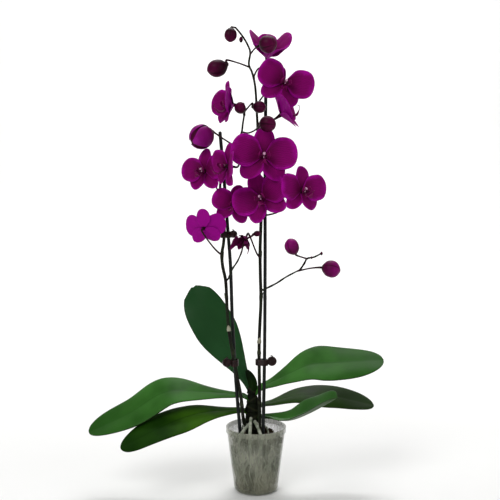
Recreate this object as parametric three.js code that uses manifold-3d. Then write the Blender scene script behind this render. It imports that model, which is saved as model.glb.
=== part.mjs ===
// A moth orchid (Phalaenopsis) in a clear nursery pot, with two staked flower spikes.
// Millimetres, +Z up. The origin is the centre of the pot's base, on the standing plane.
// The front of the plant faces -Y, and +X is to the right of someone who looks at the front.
import * as THREE from 'three';
import { mergeVertices } from 'three/addons/utils/BufferGeometryUtils.js';
import Module from 'manifold-3d';

const wasm = await Module();
wasm.setup();

// ---------------------------------------------------------------- driving dimensions
const GAP = 0.3; // clearance between pieces that touch
const POT_HEIGHT = 97;
const POT_RIM_RADIUS = 45;
const POT_BASE_RADIUS = 33; // where the side starts, above the rounded corner
const POT_WALL = 1.2;
const RIM_BAND = 8; // height of the thicker band under the rim
const RIM_STEP = 1.5; // how far the band stands proud of the side
const CORNER_RADIUS = 6;
const DRAIN_HOLES = 6;
const DRAIN_HOLE_RADIUS = 3;
const DRAIN_CIRCLE_RADIUS = 17;
const MEDIUM_DROP = 13; // from the rim down to the top of the bark
const ROOT_CLEARANCE = 1; // between a root and the wall or the bark
const WALL_ROOT_RADIUS = 2.1;
const AERIAL_ROOT_RADIUS = 2.4;
const STEM_RADIUS = 10.5;
const STEM_HEIGHT = 62; // above the rim
const STAKE_RADIUS = 2.6;
const STAKE_DEPTH = 70; // below the rim
const SPIKE_RADIUS = 2.5; // at the foot of a spike
const BARE_SPIKE = 203; // from the rim up to the lowest side shoot
const FLOWER_WIDTH = 88; // across the two petals
const BUD_WIDTH = 21;
const PEDICEL_RADIUS = 1.3;
const LEAF_THICKNESS = 3.2;
const CLIP_HEIGHT = 9;
const CLIP_WALL = 2.2;
const GRIP_WIDTH = 5;
const GRIP_BITE = 1.2; // how far the grip is let into the band

// ---------------------------------------------------------------- finishes
const finish = (color, roughness, metalness = 0, opacity = 1) => new THREE.MeshStandardMaterial({
  color, roughness, metalness, opacity, transparent: opacity < 1,
});
const FINISH = {
  pot: () => finish('#aeb8b0', 0.25, 0, 0.5),
  bark: () => finish('#5a4632', 0.9),
  root: () => finish('#8f9a84', 0.7),
  stake: () => finish('#0d1110', 0.45),
  clip: () => finish('#4a1520', 0.35),
  stem: () => finish('#26301c', 0.6),
  leaf: () => finish('#2f6a2b', 0.4),
  paleLeaf: () => finish('#3f7a4a', 0.4),
  youngLeaf: () => finish('#16240f', 0.5),
  spike: () => finish('#2a3020', 0.5),
  petal: () => finish('#8e0a86', 0.5),
  lip: () => finish('#6a0445', 0.45),
  bud: () => finish('#4a0a3a', 0.4),
};

const orchid = new THREE.Group();

function addPiece(name, geometry, material) {
  const piece = new THREE.Mesh(geometry, material);
  piece.name = name;
  orchid.add(piece);
  return piece;
}

// ---------------------------------------------------------------- solids and joins
const UP = new THREE.Vector3(0, 0, 1);
const vector = (point) => new THREE.Vector3(...point);

// A closed geometry as a solid for joins and cuts.
function toSolid(geometry) {
  const bare = geometry.clone();
  for (const attribute of ['normal', 'uv']) {
    bare.deleteAttribute(attribute);
  }
  const merged = mergeVertices(bare, 1e-4);
  return new wasm.Manifold(new wasm.Mesh({
    numProp: 3,
    vertProperties: new Float32Array(merged.attributes.position.array),
    triVerts: new Uint32Array(merged.index.array),
  }));
}

function toGeometry(solid) {
  const mesh = solid.getMesh();
  const geometry = new THREE.BufferGeometry();
  geometry.setAttribute('position', new THREE.BufferAttribute(mesh.vertProperties, 3));
  geometry.setIndex(new THREE.BufferAttribute(mesh.triVerts, 1));
  geometry.computeVertexNormals();
  return geometry;
}

const join = (geometries) => toGeometry(geometries.map(toSolid).reduce((a, b) => a.add(b)));

function cut(geometry, cutters) {
  return toGeometry(cutters.map(toSolid).reduce((a, b) => a.subtract(b), toSolid(geometry)));
}

// Six times the signed volume of a triangle list: it is positive where the faces point out.
function signedVolume(points, faces) {
  let sum = 0;
  for (let i = 0; i < faces.length; i += 3) {
    const [a, b, c] = [points[faces[i]], points[faces[i + 1]], points[faces[i + 2]]];
    sum += a.dot(b.clone().cross(c));
  }
  return sum;
}

// A closed skin over a row of rings that each have the same number of points.
function loft(rings) {
  const count = rings[0].length;
  const points = rings.flat();
  const faces = [];
  for (let r = 0; r + 1 < rings.length; r += 1) {
    for (let i = 0; i < count; i += 1) {
      const next = (i + 1) % count;
      const [a, b] = [r * count + i, r * count + next];
      faces.push(a, b, b + count, a, b + count, a + count);
    }
  }
  for (const [start, flip] of [[0, true], [(rings.length - 1) * count, false]]) {
    const centre = new THREE.Vector3();
    for (let i = 0; i < count; i += 1) {
      centre.addScaledVector(points[start + i], 1 / count);
    }
    const hub = points.push(centre) - 1;
    for (let i = 0; i < count; i += 1) {
      const next = start + ((i + 1) % count);
      faces.push(...(flip ? [hub, next, start + i] : [hub, start + i, next]));
    }
  }
  if (signedVolume(points, faces) < 0) {
    faces.reverse();
  }
  const geometry = new THREE.BufferGeometry();
  geometry.setAttribute('position',
    new THREE.Float32BufferAttribute(points.flatMap((p) => p.toArray()), 3));
  geometry.setIndex(faces);
  geometry.computeVertexNormals();
  return geometry;
}

// Straight-line value through evenly spaced stops, for u from 0 to 1.
function along(stops, u) {
  const place = THREE.MathUtils.clamp(u, 0, 1) * (stops.length - 1);
  const low = Math.min(Math.floor(place), stops.length - 2);
  return THREE.MathUtils.lerp(stops[low], stops[low + 1], place - low);
}

// A round rod along a curve; radii are its stops from one end to the other.
function rod(curve, radii, sides, steps) {
  const frames = curve.computeFrenetFrames(steps, false);
  const rings = [];
  for (let k = 0; k <= steps; k += 1) {
    const centre = curve.getPointAt(k / steps);
    const radius = along(radii, k / steps);
    rings.push(Array.from({ length: sides }, (_, i) => {
      const turn = (2 * Math.PI * i) / sides;
      return centre.clone()
        .addScaledVector(frames.normals[k], radius * Math.cos(turn))
        .addScaledVector(frames.binormals[k], radius * Math.sin(turn));
    }));
  }
  return loft(rings);
}

const curveThrough = (points) => new THREE.CatmullRomCurve3(points, false, 'centripetal');

// The ring round a thin blade: its upper face from edge to edge, then back along its lower face.
// at(v) gives the middle of the blade for v from -1 to 1, and up is the blade's own normal.
function bladeRing(at, up, thickness, cells) {
  const ring = [];
  for (let i = 0; i <= cells; i += 1) {
    const v = (2 * i) / cells - 1;
    ring.push(at(v).addScaledVector(up, (thickness * (1 - v * v)) / 2));
  }
  for (let i = cells - 1; i > 0; i -= 1) {
    const v = (2 * i) / cells - 1;
    ring.push(at(v).addScaledVector(up, (-thickness * (1 - v * v)) / 2));
  }
  return ring;
}

// ---------------------------------------------------------------- pot and growing medium
const BAND_FOOT = POT_HEIGHT - RIM_BAND;

// Outer radius of the pot's side at a height.
function sideRadius(z) {
  const share = (z - CORNER_RADIUS) / (BAND_FOOT - CORNER_RADIUS);
  return THREE.MathUtils.lerp(POT_BASE_RADIUS, POT_RIM_RADIUS - RIM_STEP, share);
}

const innerRadius = (z) => sideRadius(z) - POT_WALL;
const FOOT_RADIUS = POT_BASE_RADIUS - CORNER_RADIUS;
const CHIME_STEPS = 2;

// The rounded corner between the base and the side, for an offset into the wall.
function cornerPoints(inset) {
  return Array.from({ length: CHIME_STEPS + 1 }, (_, i) => {
    const turn = (Math.PI / 2) * (i / CHIME_STEPS);
    const radius = CORNER_RADIUS - inset;
    return new THREE.Vector2(FOOT_RADIUS + radius * Math.sin(turn),
      CORNER_RADIUS - radius * Math.cos(turn));
  });
}

const potProfile = [
  new THREE.Vector2(0, 0),
  ...cornerPoints(0),
  new THREE.Vector2(sideRadius(BAND_FOOT), BAND_FOOT),
  new THREE.Vector2(POT_RIM_RADIUS, BAND_FOOT),
  new THREE.Vector2(POT_RIM_RADIUS, POT_HEIGHT),
  new THREE.Vector2(POT_RIM_RADIUS - RIM_STEP - POT_WALL, POT_HEIGHT),
  new THREE.Vector2(innerRadius(BAND_FOOT), BAND_FOOT),
  ...cornerPoints(POT_WALL).reverse(),
  new THREE.Vector2(0, POT_WALL),
];

// Lathe geometry turns about Y, so it is stood up to turn about Z.
function turned(profile, segments) {
  return new THREE.LatheGeometry(profile, segments).rotateX(Math.PI / 2);
}

const drainHole = (index) => {
  const turn = (2 * Math.PI * (index + 0.5)) / DRAIN_HOLES;
  const hole = new THREE.CylinderGeometry(DRAIN_HOLE_RADIUS, DRAIN_HOLE_RADIUS, 4 * POT_WALL, 10);
  return hole.rotateX(Math.PI / 2)
    .translate(DRAIN_CIRCLE_RADIUS * Math.cos(turn), DRAIN_CIRCLE_RADIUS * Math.sin(turn), POT_WALL / 2);
};

addPiece('pot', cut(turned(potProfile, 32), Array.from({ length: DRAIN_HOLES }, (_, i) => drainHole(i))),
  FINISH.pot());

const MEDIUM_TOP = POT_HEIGHT - MEDIUM_DROP;
const MEDIUM_FOOT = POT_WALL + GAP;
const ROOT_SPACE = 2 * Math.max(WALL_ROOT_RADIUS, AERIAL_ROOT_RADIUS) + 2 * ROOT_CLEARANCE;
const mediumRadius = (z) => innerRadius(z) - ROOT_SPACE;

// Where a root of this radius lies against the inside of the wall.
function againstWall(degrees, z, rootRadius) {
  const turn = THREE.MathUtils.degToRad(degrees);
  const radius = innerRadius(z) - rootRadius - ROOT_CLEARANCE;
  return new THREE.Vector3(radius * Math.cos(turn), radius * Math.sin(turn), z);
}

// ---------------------------------------------------------------- stem, stakes and spikes
const STEM_X = -5;
const stemCurve = curveThrough([
  new THREE.Vector3(STEM_X, 0, MEDIUM_TOP - 20),
  new THREE.Vector3(STEM_X, 0, POT_HEIGHT),
  new THREE.Vector3(STEM_X - 1, 0, POT_HEIGHT + STEM_HEIGHT),
]);

// The stem, or the hole that clears it all round.
function stemRod(clearance) {
  return rod(stemCurve, [7, STEM_RADIUS, STEM_RADIUS, 8, 5].map((radius) => radius + clearance), 12, 8);
}

addPiece('stem_base', stemRod(0), FINISH.stem());

// Heights up to the lowest side shoot are shares of the bare spike. Above it the plant is
// laid out in flower widths, so that the flowers keep their distances if they grow.
const SHOOT_HEIGHT = POT_HEIGHT + BARE_SPIKE;
const onBare = (x, y, share) => new THREE.Vector3(x, y, POT_HEIGHT + BARE_SPIKE * share);
const amongBlooms = (x, y, z) => new THREE.Vector3(
  x * FLOWER_WIDTH,
  y * FLOWER_WIDTH,
  SHOOT_HEIGHT + z * FLOWER_WIDTH,
);

const leftStakeCurve = curveThrough([
  new THREE.Vector3(-19, -17, POT_HEIGHT - STAKE_DEPTH),
  onBare(-24, -17, 0),
  onBare(-30, -15, 0.37),
  onBare(-35, -9, 0.8),
  amongBlooms(-0.43, -0.05, 0.47),
  amongBlooms(-0.47, 0, 1),
  amongBlooms(-0.53, 0.03, 1.82),
  amongBlooms(-0.60, 0.05, 2.65),
]);
const rightStakeCurve = curveThrough([
  new THREE.Vector3(9, -20, POT_HEIGHT - STAKE_DEPTH),
  onBare(10.5, -20, 0),
  onBare(12.5, -15, 0.58),
  amongBlooms(0.15, -0.09, 0.47),
  amongBlooms(0.15, 0, 1.9),
  amongBlooms(0.16, 0.05, 3.42),
]);

const leftSpikeCurve = curveThrough([
  new THREE.Vector3(STEM_X - STEM_RADIUS - SPIKE_RADIUS + 1, -6, POT_HEIGHT + 2),
  onBare(-19.5, -17, 0.1),
  onBare(-22.5, -19.5, 0.25),
  onBare(-27, -21, 0.37),
  onBare(-32, -20.5, 0.5),
  onBare(-40, -15, 0.73),
  onBare(-42.5, -12, 0.87),
  amongBlooms(-0.51, -0.11, 0.2),
  amongBlooms(-0.56, -0.1, 0.45),
  amongBlooms(-0.57, -0.1, 0.65),
  amongBlooms(-0.545, -0.1, 0.8),
  amongBlooms(-0.53, -0.08, 1.0),
  amongBlooms(-0.54, -0.06, 1.2),
  amongBlooms(-0.59, -0.04, 1.55),
  amongBlooms(-0.60, 0.08, 1.8),
  amongBlooms(-0.54, 0.13, 2.15),
  amongBlooms(-0.40, 0.08, 2.42),
  amongBlooms(-0.25, 0.0, 2.63),
  amongBlooms(-0.22, -0.02, 2.8),
  amongBlooms(-0.18, -0.04, 3.05),
]);
const rightSpikeCurve = curveThrough([
  new THREE.Vector3(STEM_X + STEM_RADIUS, -STEM_RADIUS - 1, POT_HEIGHT + 2),
  onBare(5, -14.5, 0.3),
  onBare(4.5, -13, 0.63),
  onBare(17.1 - STAKE_RADIUS - 3 * SPIKE_RADIUS, -11.5, 0.95), // beside the stake
  amongBlooms(0.07, -0.16, 0.27),
  amongBlooms(0.065, -0.15, 0.7),
  amongBlooms(0.08, -0.15, 1.26),
  amongBlooms(0.07, -0.1, 1.6),
  amongBlooms(0.05, 0.01, 2.1),
  amongBlooms(0.03, 0.05, 2.6),
  amongBlooms(0.01, 0.03, 3.0),
  amongBlooms(-0.02, 0.02, 3.43),
  amongBlooms(-0.07, 0.01, 3.64),
  amongBlooms(-0.12, 0, 3.76),
  amongBlooms(-0.10, 0, 3.97),
  amongBlooms(-0.14, 0, 4.08),
  amongBlooms(-0.21, 0, 4.2),
  amongBlooms(-0.27, 0, 4.28),
  amongBlooms(-0.34, 0, 4.36),
]);

const SPIKE_SIDES = 6;

// A stake, or the hole that clears it all round.
function stakeRod(curve, clearance) {
  return rod(curve, [STAKE_RADIUS + clearance, STAKE_RADIUS + clearance], 8, 10);
}

addPiece('left_stake', stakeRod(leftStakeCurve, 0), FINISH.stake());
addPiece('right_stake', stakeRod(rightStakeCurve, 0), FINISH.stake());

const SPIKE_TAPER = [1, 1, 0.94, 0.75, 0.55];
const spikeRadii = SPIKE_TAPER.map((share) => share * SPIKE_RADIUS);
const shootRadii = [0.6 * SPIKE_RADIUS, 0.55 * SPIKE_RADIUS, 0.5 * SPIKE_RADIUS];

// The point of a curve at a height, found by halving; the curve climbs all the way.
function pointAtHeight(curve, z) {
  let [low, high] = [0, 1];
  for (let i = 0; i < 40; i += 1) {
    const middle = (low + high) / 2;
    if (curve.getPointAt(middle).z < z) {
      low = middle;
    } else {
      high = middle;
    }
  }
  return { share: low, point: curve.getPointAt(low) };
}

// A side shoot starts inside its spike and is joined to it.
function shoot(spikeCurve, height, points) {
  const start = pointAtHeight(spikeCurve, SHOOT_HEIGHT + height * FLOWER_WIDTH).point;
  return curveThrough([start, ...points.map((p) => amongBlooms(...p))]);
}

const leftShootCurve = shoot(leftSpikeCurve, 0.19, [
  [-0.46, -0.17, 0.24],
  [-0.40, -0.21, 0.39],
  [-0.31, -0.24, 0.53],
  [-0.25, -0.27, 0.66],
]);
const rightShootCurve = shoot(rightSpikeCurve, 0.03, [
  [0.22, -0.18, 0.10],
  [0.35, -0.19, 0.17],
  [0.50, -0.2, 0.27],
  [0.73, -0.2, 0.39],
]);
const tipShootCurve = curveThrough([
  rightShootCurve.getPointAt(1),
  amongBlooms(0.80, -0.2, 0.50),
  amongBlooms(0.84, -0.2, 0.57),
  amongBlooms(0.96, -0.2, 0.60),
  amongBlooms(1.08, -0.2, 0.66),
]);
const spikeSteps = 28;
addPiece('left_spike', join([
  rod(leftSpikeCurve, spikeRadii, SPIKE_SIDES, spikeSteps),
  rod(leftShootCurve, shootRadii, 6, 7),
]), FINISH.spike());
const growingTip = new THREE.SphereGeometry(3, 8, 6).translate(...amongBlooms(-0.25, 0, 4.17).toArray());
addPiece('right_spike', join([
  rod(rightSpikeCurve, spikeRadii, SPIKE_SIDES, spikeSteps),
  growingTip,
  rod(rightShootCurve, shootRadii, 6, 8),
  rod(tipShootCurve, shootRadii, 6, 6),
]), FINISH.spike());

// ---------------------------------------------------------------- growing medium and roots
const mediumProfile = [
  new THREE.Vector2(0, MEDIUM_FOOT),
  new THREE.Vector2(FOOT_RADIUS - ROOT_SPACE, MEDIUM_FOOT),
  new THREE.Vector2(mediumRadius(CORNER_RADIUS + 6), CORNER_RADIUS + 6),
  new THREE.Vector2(mediumRadius(MEDIUM_TOP - 4), MEDIUM_TOP - 4),
  new THREE.Vector2(mediumRadius(MEDIUM_TOP) - 4, MEDIUM_TOP),
  new THREE.Vector2(0, MEDIUM_TOP + 2),
];

// Each hole in the bark also clears the lower end of what stands in it.
addPiece('growing_medium', cut(turned(mediumProfile, 18), [
  stemRod(GAP),
  stakeRod(leftStakeCurve, GAP),
  stakeRod(rightStakeCurve, GAP),
].map((hole) => hole.translate(0, 0, -GAP))), FINISH.bark());

// Roots that have found the wall wind down it, each from its own place round the pot.
const WALL_ROOTS = 6;
const ROOT_ARC_START = 306;
const ROOT_ARC = 250; // the rest of the turn is left to the aerial roots
for (let index = 0; index < WALL_ROOTS; index += 1) {
  const start = ROOT_ARC_START + (index * ROOT_ARC) / (WALL_ROOTS - 1);
  const sway = index % 2 === 0 ? 1 : -1;
  const top = MEDIUM_TOP - 8 - 3 * (index % 3);
  const foot = CORNER_RADIUS + 5 + 4 * (index % 2);
  const points = [0, 0.25, 0.5, 0.75, 1].map((share) => againstWall(
    start + sway * (13 * Math.sin(2.2 * Math.PI * share) - 6 * share),
    THREE.MathUtils.lerp(top, foot, share),
    WALL_ROOT_RADIUS,
  ));
  addPiece(`wall_root_${index + 1}`, rod(curveThrough(points),
    [0.7 * WALL_ROOT_RADIUS, WALL_ROOT_RADIUS, WALL_ROOT_RADIUS, 0.6 * WALL_ROOT_RADIUS], 5, 10),
    FINISH.root());
}

// Aerial roots leave the stem above the bark, arch over it and go down inside the wall.
const DOWN_DEPTHS = [12, 34]; // below the top of the bark

// The turn at which a root against the wall clears the left stake, at a depth in the bark.
function besideLeftStake(depth) {
  const z = MEDIUM_TOP - depth;
  const { point } = pointAtHeight(leftStakeCurve, z);
  const wallReach = innerRadius(z) - AERIAL_ROOT_RADIUS - ROOT_CLEARANCE;
  const turn = Math.atan2(point.y,
    point.x) + Math.asin((STAKE_RADIUS + AERIAL_ROOT_RADIUS + GAP) / wallReach);
  return THREE.MathUtils.radToDeg(turn);
}

const aerialRoots = [
  { name: 'aerial_root_left', from: 242, out: 232, down: DOWN_DEPTHS.map(besideLeftStake), rise: 5 },
  { name: 'aerial_root_middle', from: 254, out: 256, down: [256, 253], rise: 14 },
  { name: 'aerial_root_right', from: 290, out: 282, down: [279, 276], rise: 9 },
];
for (const root of aerialRoots) {
  const turn = THREE.MathUtils.degToRad(root.from);
  const reach = STEM_RADIUS + AERIAL_ROOT_RADIUS + GAP;
  const start = new THREE.Vector3(STEM_X + reach * Math.cos(turn), reach * Math.sin(turn),
    POT_HEIGHT + root.rise);
  const shoulder = againstWall(root.out, MEDIUM_TOP + 3, AERIAL_ROOT_RADIUS);
  const arch = start.clone().lerp(shoulder, 0.6).setZ(POT_HEIGHT + 0.3 * root.rise - 2);
  const points = [
    start,
    arch,
    shoulder,
    ...DOWN_DEPTHS.map((depth, i) => againstWall(root.down[i], MEDIUM_TOP - depth, AERIAL_ROOT_RADIUS)),
  ];
  addPiece(root.name, rod(curveThrough(points),
    [AERIAL_ROOT_RADIUS, AERIAL_ROOT_RADIUS, 0.95 * AERIAL_ROOT_RADIUS, 0.6 * AERIAL_ROOT_RADIUS], 6, 8),
  FINISH.root());
}

// ---------------------------------------------------------------- leaves
// The spine's stops are shares of the leaf's length from its foot. Roll turns the near edge
// down, fold bends the halves up along the midrib, and notch splits the tip.
const LEAF_STATIONS = 11;
const LEAF_FOOT_SHARE = 0.2; // of the leaf's width, at its foot

// Half width of a leaf as a share of its widest: a narrow foot, the broadest part past the
// middle and a round tip.
function leafShare(foot, u) {
  const swell = THREE.MathUtils.smoothstep(u, -0.05, 0.6);
  return Math.max(0.08, THREE.MathUtils.lerp(foot, 1, swell) * Math.sqrt(1 - u ** 5));
}

// A place beside the stem: side is -1 or 1, and out is measured from the stem's surface.
const besideStem = (side, out) => STEM_X + side * (STEM_RADIUS + out);
const leaves = [
  {
    name: 'leaf_back_left', foot: [besideStem(-1, -3.5), 8, 62], length: 166, width: 66,
    roll: [-100, -113, -110], fold: 0.14,
    spine: [[0, 0, 0], [-0.08, 0.07, 0.13], [-0.26, 0.14, 0.42], [-0.43, 0.2, 0.70], [-0.51, 0.25, 0.86]],
  },
  {
    name: 'leaf_left_upper', foot: [besideStem(-1, 0.5), 4, 44], length: 243, width: 68,
    roll: [10, 30, 26], fold: 0.12,
    spine: [[0, 0, 0], [-0.1, 0, 0.01], [-0.27, -0.04, 0.035], [-0.49, -0.05, 0.035],
      [-0.7, -0.07, -0.085], [-0.95, -0.09, -0.2]],
  },
  {
    name: 'leaf_left_lower', foot: [besideStem(-1, 0.5), 2, 22], length: 195, width: 60,
    roll: [14, 22, 22], fold: 0.12,
    spine: [[0, 0, 0], [-0.15, -0.01, 0], [-0.34, -0.11, 0.01], [-0.52, -0.19, -0.025],
      [-0.7, -0.26, -0.09], [-0.91, -0.32, -0.19]],
  },
  {
    name: 'leaf_right_upper', foot: [besideStem(1, 0.5), 3, 57], length: 196, width: 70,
    roll: [20, 40, 26], fold: 0.1,
    spine: [[0, 0, 0], [0.1, 0.01, 0.04], [0.22, 0.02, 0.1], [0.38, 0.03, 0.17], [0.58, 0.04, 0.185],
      [0.95, 0.06, 0.2]],
  },
  {
    name: 'leaf_right_middle', foot: [besideStem(1, 1.5), 4, 30], length: 178, width: 58,
    roll: [10, 22, 20], fold: 0.12,
    spine: [[0, 0, 0], [0.1, 0.01, 0.02], [0.31, 0.03, 0.07], [0.59, 0.04, 0.07], [0.78, 0.04, 0.03],
      [0.96, 0.04, -0.01]],
  },
  {
    name: 'leaf_right_lower', foot: [besideStem(1, 0.5), -2, 13], length: 142, width: 58,
    roll: [0, 20, 16], fold: 0.5,
    spine: [[0, 0, 0], [0.1, -0.03, 0.01], [0.3, -0.2, 0.04], [0.5, -0.36, 0.16], [0.75, -0.56, 0.36]],
  },
];

function leafGeometry(leaf) {
  const foot = new THREE.Vector3(leaf.foot[0], leaf.foot[1], POT_HEIGHT + leaf.foot[2]);
  const curve = curveThrough(leaf.spine.map((p) => vector(p).multiplyScalar(leaf.length).add(foot)));
  const rings = [];
  for (let k = 0; k <= LEAF_STATIONS; k += 1) {
    const u = Math.sin((Math.PI / 2) * (k / LEAF_STATIONS)); // closer together towards the tip
    const centre = curve.getPointAt(u);
    const tangent = curve.getTangentAt(u);
    const roll = THREE.MathUtils.degToRad(along(leaf.roll, u)) * Math.sign(tangent.x);
    const side = tangent.clone().cross(UP).normalize();
    side.applyAxisAngle(tangent, roll);
    const up = side.clone().cross(tangent);
    const half = (leaf.width / 2) * leafShare(LEAF_FOOT_SHARE, u);
    const at = (v) => centre.clone()
      .addScaledVector(side, v * half)
      .addScaledVector(up, leaf.fold * half * Math.abs(v));
    rings.push(bladeRing(at, up, LEAF_THICKNESS * (1.5 - u), 4));
  }
  return loft(rings);
}

for (const leaf of leaves) {
  addPiece(leaf.name, leafGeometry(leaf),
    leaf.name === 'leaf_back_left' ? FINISH.paleLeaf() : FINISH.leaf());
}

// The youngest leaf stands in the crown, still folded.
const youngCurve = curveThrough([
  new THREE.Vector3(STEM_X, -1, POT_HEIGHT + STEM_HEIGHT + GAP + 1),
  new THREE.Vector3(STEM_X - 3, -2, POT_HEIGHT + STEM_HEIGHT + 12),
  new THREE.Vector3(STEM_X - 9, -2, POT_HEIGHT + STEM_HEIGHT + 24),
]);
addPiece('young_leaf', rod(youngCurve, [4.5, 6, 5, 1], 8, 6), FINISH.youngLeaf());

// ---------------------------------------------------------------- flowers
// A flower is made facing -Y with its top sepal towards +Z, one unit wide across the petals.
// A tepal is one sepal or petal: its angle runs clockwise from the top, seen from the front.
const PETAL_OUTLINE = [0.25, 0.84, 1.0, 0.8, 0.3];
const SEPAL_OUTLINE = [0.4, 0.95, 0.92, 0.3];
const TEPAL_FOOT = 0.03; // from the flower's centre

function tepal({ angle, length, width, outline, cells, lift, reflex, cup, layer }) {
  const turn = THREE.MathUtils.degToRad(angle);
  const out = new THREE.Vector3(Math.sin(turn), 0, Math.cos(turn));
  const side = new THREE.Vector3(Math.cos(turn), 0, -Math.sin(turn));
  const forward = new THREE.Vector3(0, -1, 0);
  const rise = Math.sin(THREE.MathUtils.degToRad(lift));
  const run = Math.cos(THREE.MathUtils.degToRad(lift));
  const stations = outline.length - 1;
  const rings = outline.map((share, k) => {
    const u = k / stations;
    const half = (width / 2) * share;
    const centre = new THREE.Vector3()
      .addScaledVector(out, TEPAL_FOOT + (length - TEPAL_FOOT) * run * u)
      .addScaledVector(forward, length * (rise * u - reflex * u * u) + layer);
    const at = (v) => centre.clone().addScaledVector(side, v * half).addScaledVector(forward,
      cup * half * v * v);
    return bladeRing(at, forward, 0.018, cells);
  });
  return loft(rings);
}

// Fold brings all the tepals forward, as on a flower that is only half open.
function tepals({ fold, top = { angle: 0, lift: 4 } }) {
  const sepal = { length: 0.42, width: 0.27, outline: SEPAL_OUTLINE, cells: 2, cup: 0.1, layer: -0.02 };
  const petal = { length: 0.51, width: 0.47, outline: PETAL_OUTLINE, cells: 3, cup: -0.1, layer: 0.012 };
  return [
    tepal({ ...sepal, angle: top.angle, lift: top.lift + fold, reflex: 0.12 }),
    tepal({ ...sepal, angle: 138, lift: 8 + fold, reflex: 0.1 }),
    tepal({ ...sepal, angle: -138, lift: 8 + fold, reflex: 0.1 }),
    tepal({ ...petal, angle: 80, lift: 14 + fold, reflex: 0.06 }),
    tepal({ ...petal, angle: -80, lift: 14 + fold, reflex: 0.06 }),
  ];
}

// The disc where the five tepals meet, with the ovary behind it.
const FLOWER_BACK = 0.11;
const OVARY_RADIUS = 0.026;
function ovary() {
  const line = curveThrough([[0, -0.05, 0], [0, 0, 0], [0, 0.05, 0], [0, FLOWER_BACK, 0]].map(vector));
  return rod(line, [0.05, 0.06, 0.035, OVARY_RADIUS, 0.022], 5, 4);
}

// The lip hangs in front of the disc: two side lobes, a tongue and the column above them.
const DISC_FRONT = 0.05;
const LIP_CLEARANCE = 0.022;
function lipParts() {
  const base = -DISC_FRONT - LIP_CLEARANCE;
  const blade = (points, widths, up) => {
    const curve = curveThrough(points.map(vector));
    const rings = widths.map((width, k) => {
      const u = k / (widths.length - 1);
      const side = curve.getTangentAt(u).cross(up).normalize();
      const normal = side.clone().cross(curve.getTangentAt(u));
      const centre = curve.getPointAt(u);
      return bladeRing((v) => centre.clone().addScaledVector(side, v * width), normal, 0.018, 2);
    });
    return loft(rings);
  };
  const tongue = blade([[0, base, -0.01], [0, base - 0.08, -0.10], [0, base - 0.17, -0.13],
    [0, base - 0.25, -0.07]], [0.03, 0.045, 0.06, 0.012], new THREE.Vector3(0, -0.3, 1));
  const lobe = (sign) => blade([[sign * 0.01, base, -0.02], [sign * 0.07, base - 0.05, -0.02],
    [sign * 0.06, base - 0.1, 0.035]], [0.02, 0.04, 0.015], new THREE.Vector3(sign, 0, 0.4));
  const columnSpine = [[0, base, 0.0], [0, base - 0.03, 0.02], [0, base - 0.075, 0.025]];
  const columnCurve = curveThrough(columnSpine.map(vector));
  return [rod(columnCurve, [0.028, 0.024, 0.03], 5, 2), tongue, lobe(1), lobe(-1)];
}

// Turns a piece of a flower: the facing is given by compass (to the right of the front), pitch
// (upwards) and roll (clockwise, seen from the front).
function flowerMatrix(flower, centre, size) {
  const rad = THREE.MathUtils.degToRad;
  const turn = new THREE.Quaternion().setFromAxisAngle(new THREE.Vector3(0, 0, 1), rad(flower.compass));
  turn.multiply(new THREE.Quaternion().setFromAxisAngle(new THREE.Vector3(1, 0, 0), rad(-flower.pitch)));
  turn.multiply(new THREE.Quaternion().setFromAxisAngle(new THREE.Vector3(0, 1, 0), rad(flower.roll)));
  return new THREE.Matrix4().compose(centre, turn, new THREE.Vector3(size, size, size));
}

// Where a stalk leaves its spike or side shoot: the point, the way the stem runs there and its radius.
function foothold(stalk) {
  if (stalk.shoot) {
    const point = stalk.shoot.getPointAt(stalk.share);
    const run = stalk.shoot.getTangentAt(stalk.share);
    return { point, run, radius: along(shootRadii, stalk.share), tip: stalk.share === 1 };
  }
  const curve = stalk.spike === 'left' ? leftSpikeCurve : rightSpikeCurve;
  const found = pointAtHeight(curve, SHOOT_HEIGHT + stalk.at * FLOWER_WIDTH);
  return { ...found, run: curve.getTangentAt(found.share), radius: along(spikeRadii, found.share),
    tip: false };
}

// The stalk of a flower or bud, clear of what it grows from by GAP: beside it, or past its tip.
function pedicel(stalk, via, end, radius) {
  const hold = foothold(stalk);
  const first = via.length > 0 ? via[0] : end;
  const away = first.clone().sub(hold.point);
  const start = hold.point.clone();
  if (hold.tip) {
    start.addScaledVector(hold.run, hold.radius);
  } else {
    away.addScaledVector(hold.run, -away.dot(hold.run));
    start.addScaledVector(away.normalize(), hold.radius + radius + GAP);
  }
  return rod(curveThrough([start, ...via, end]), [radius, radius], 5, 5);
}

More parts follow.
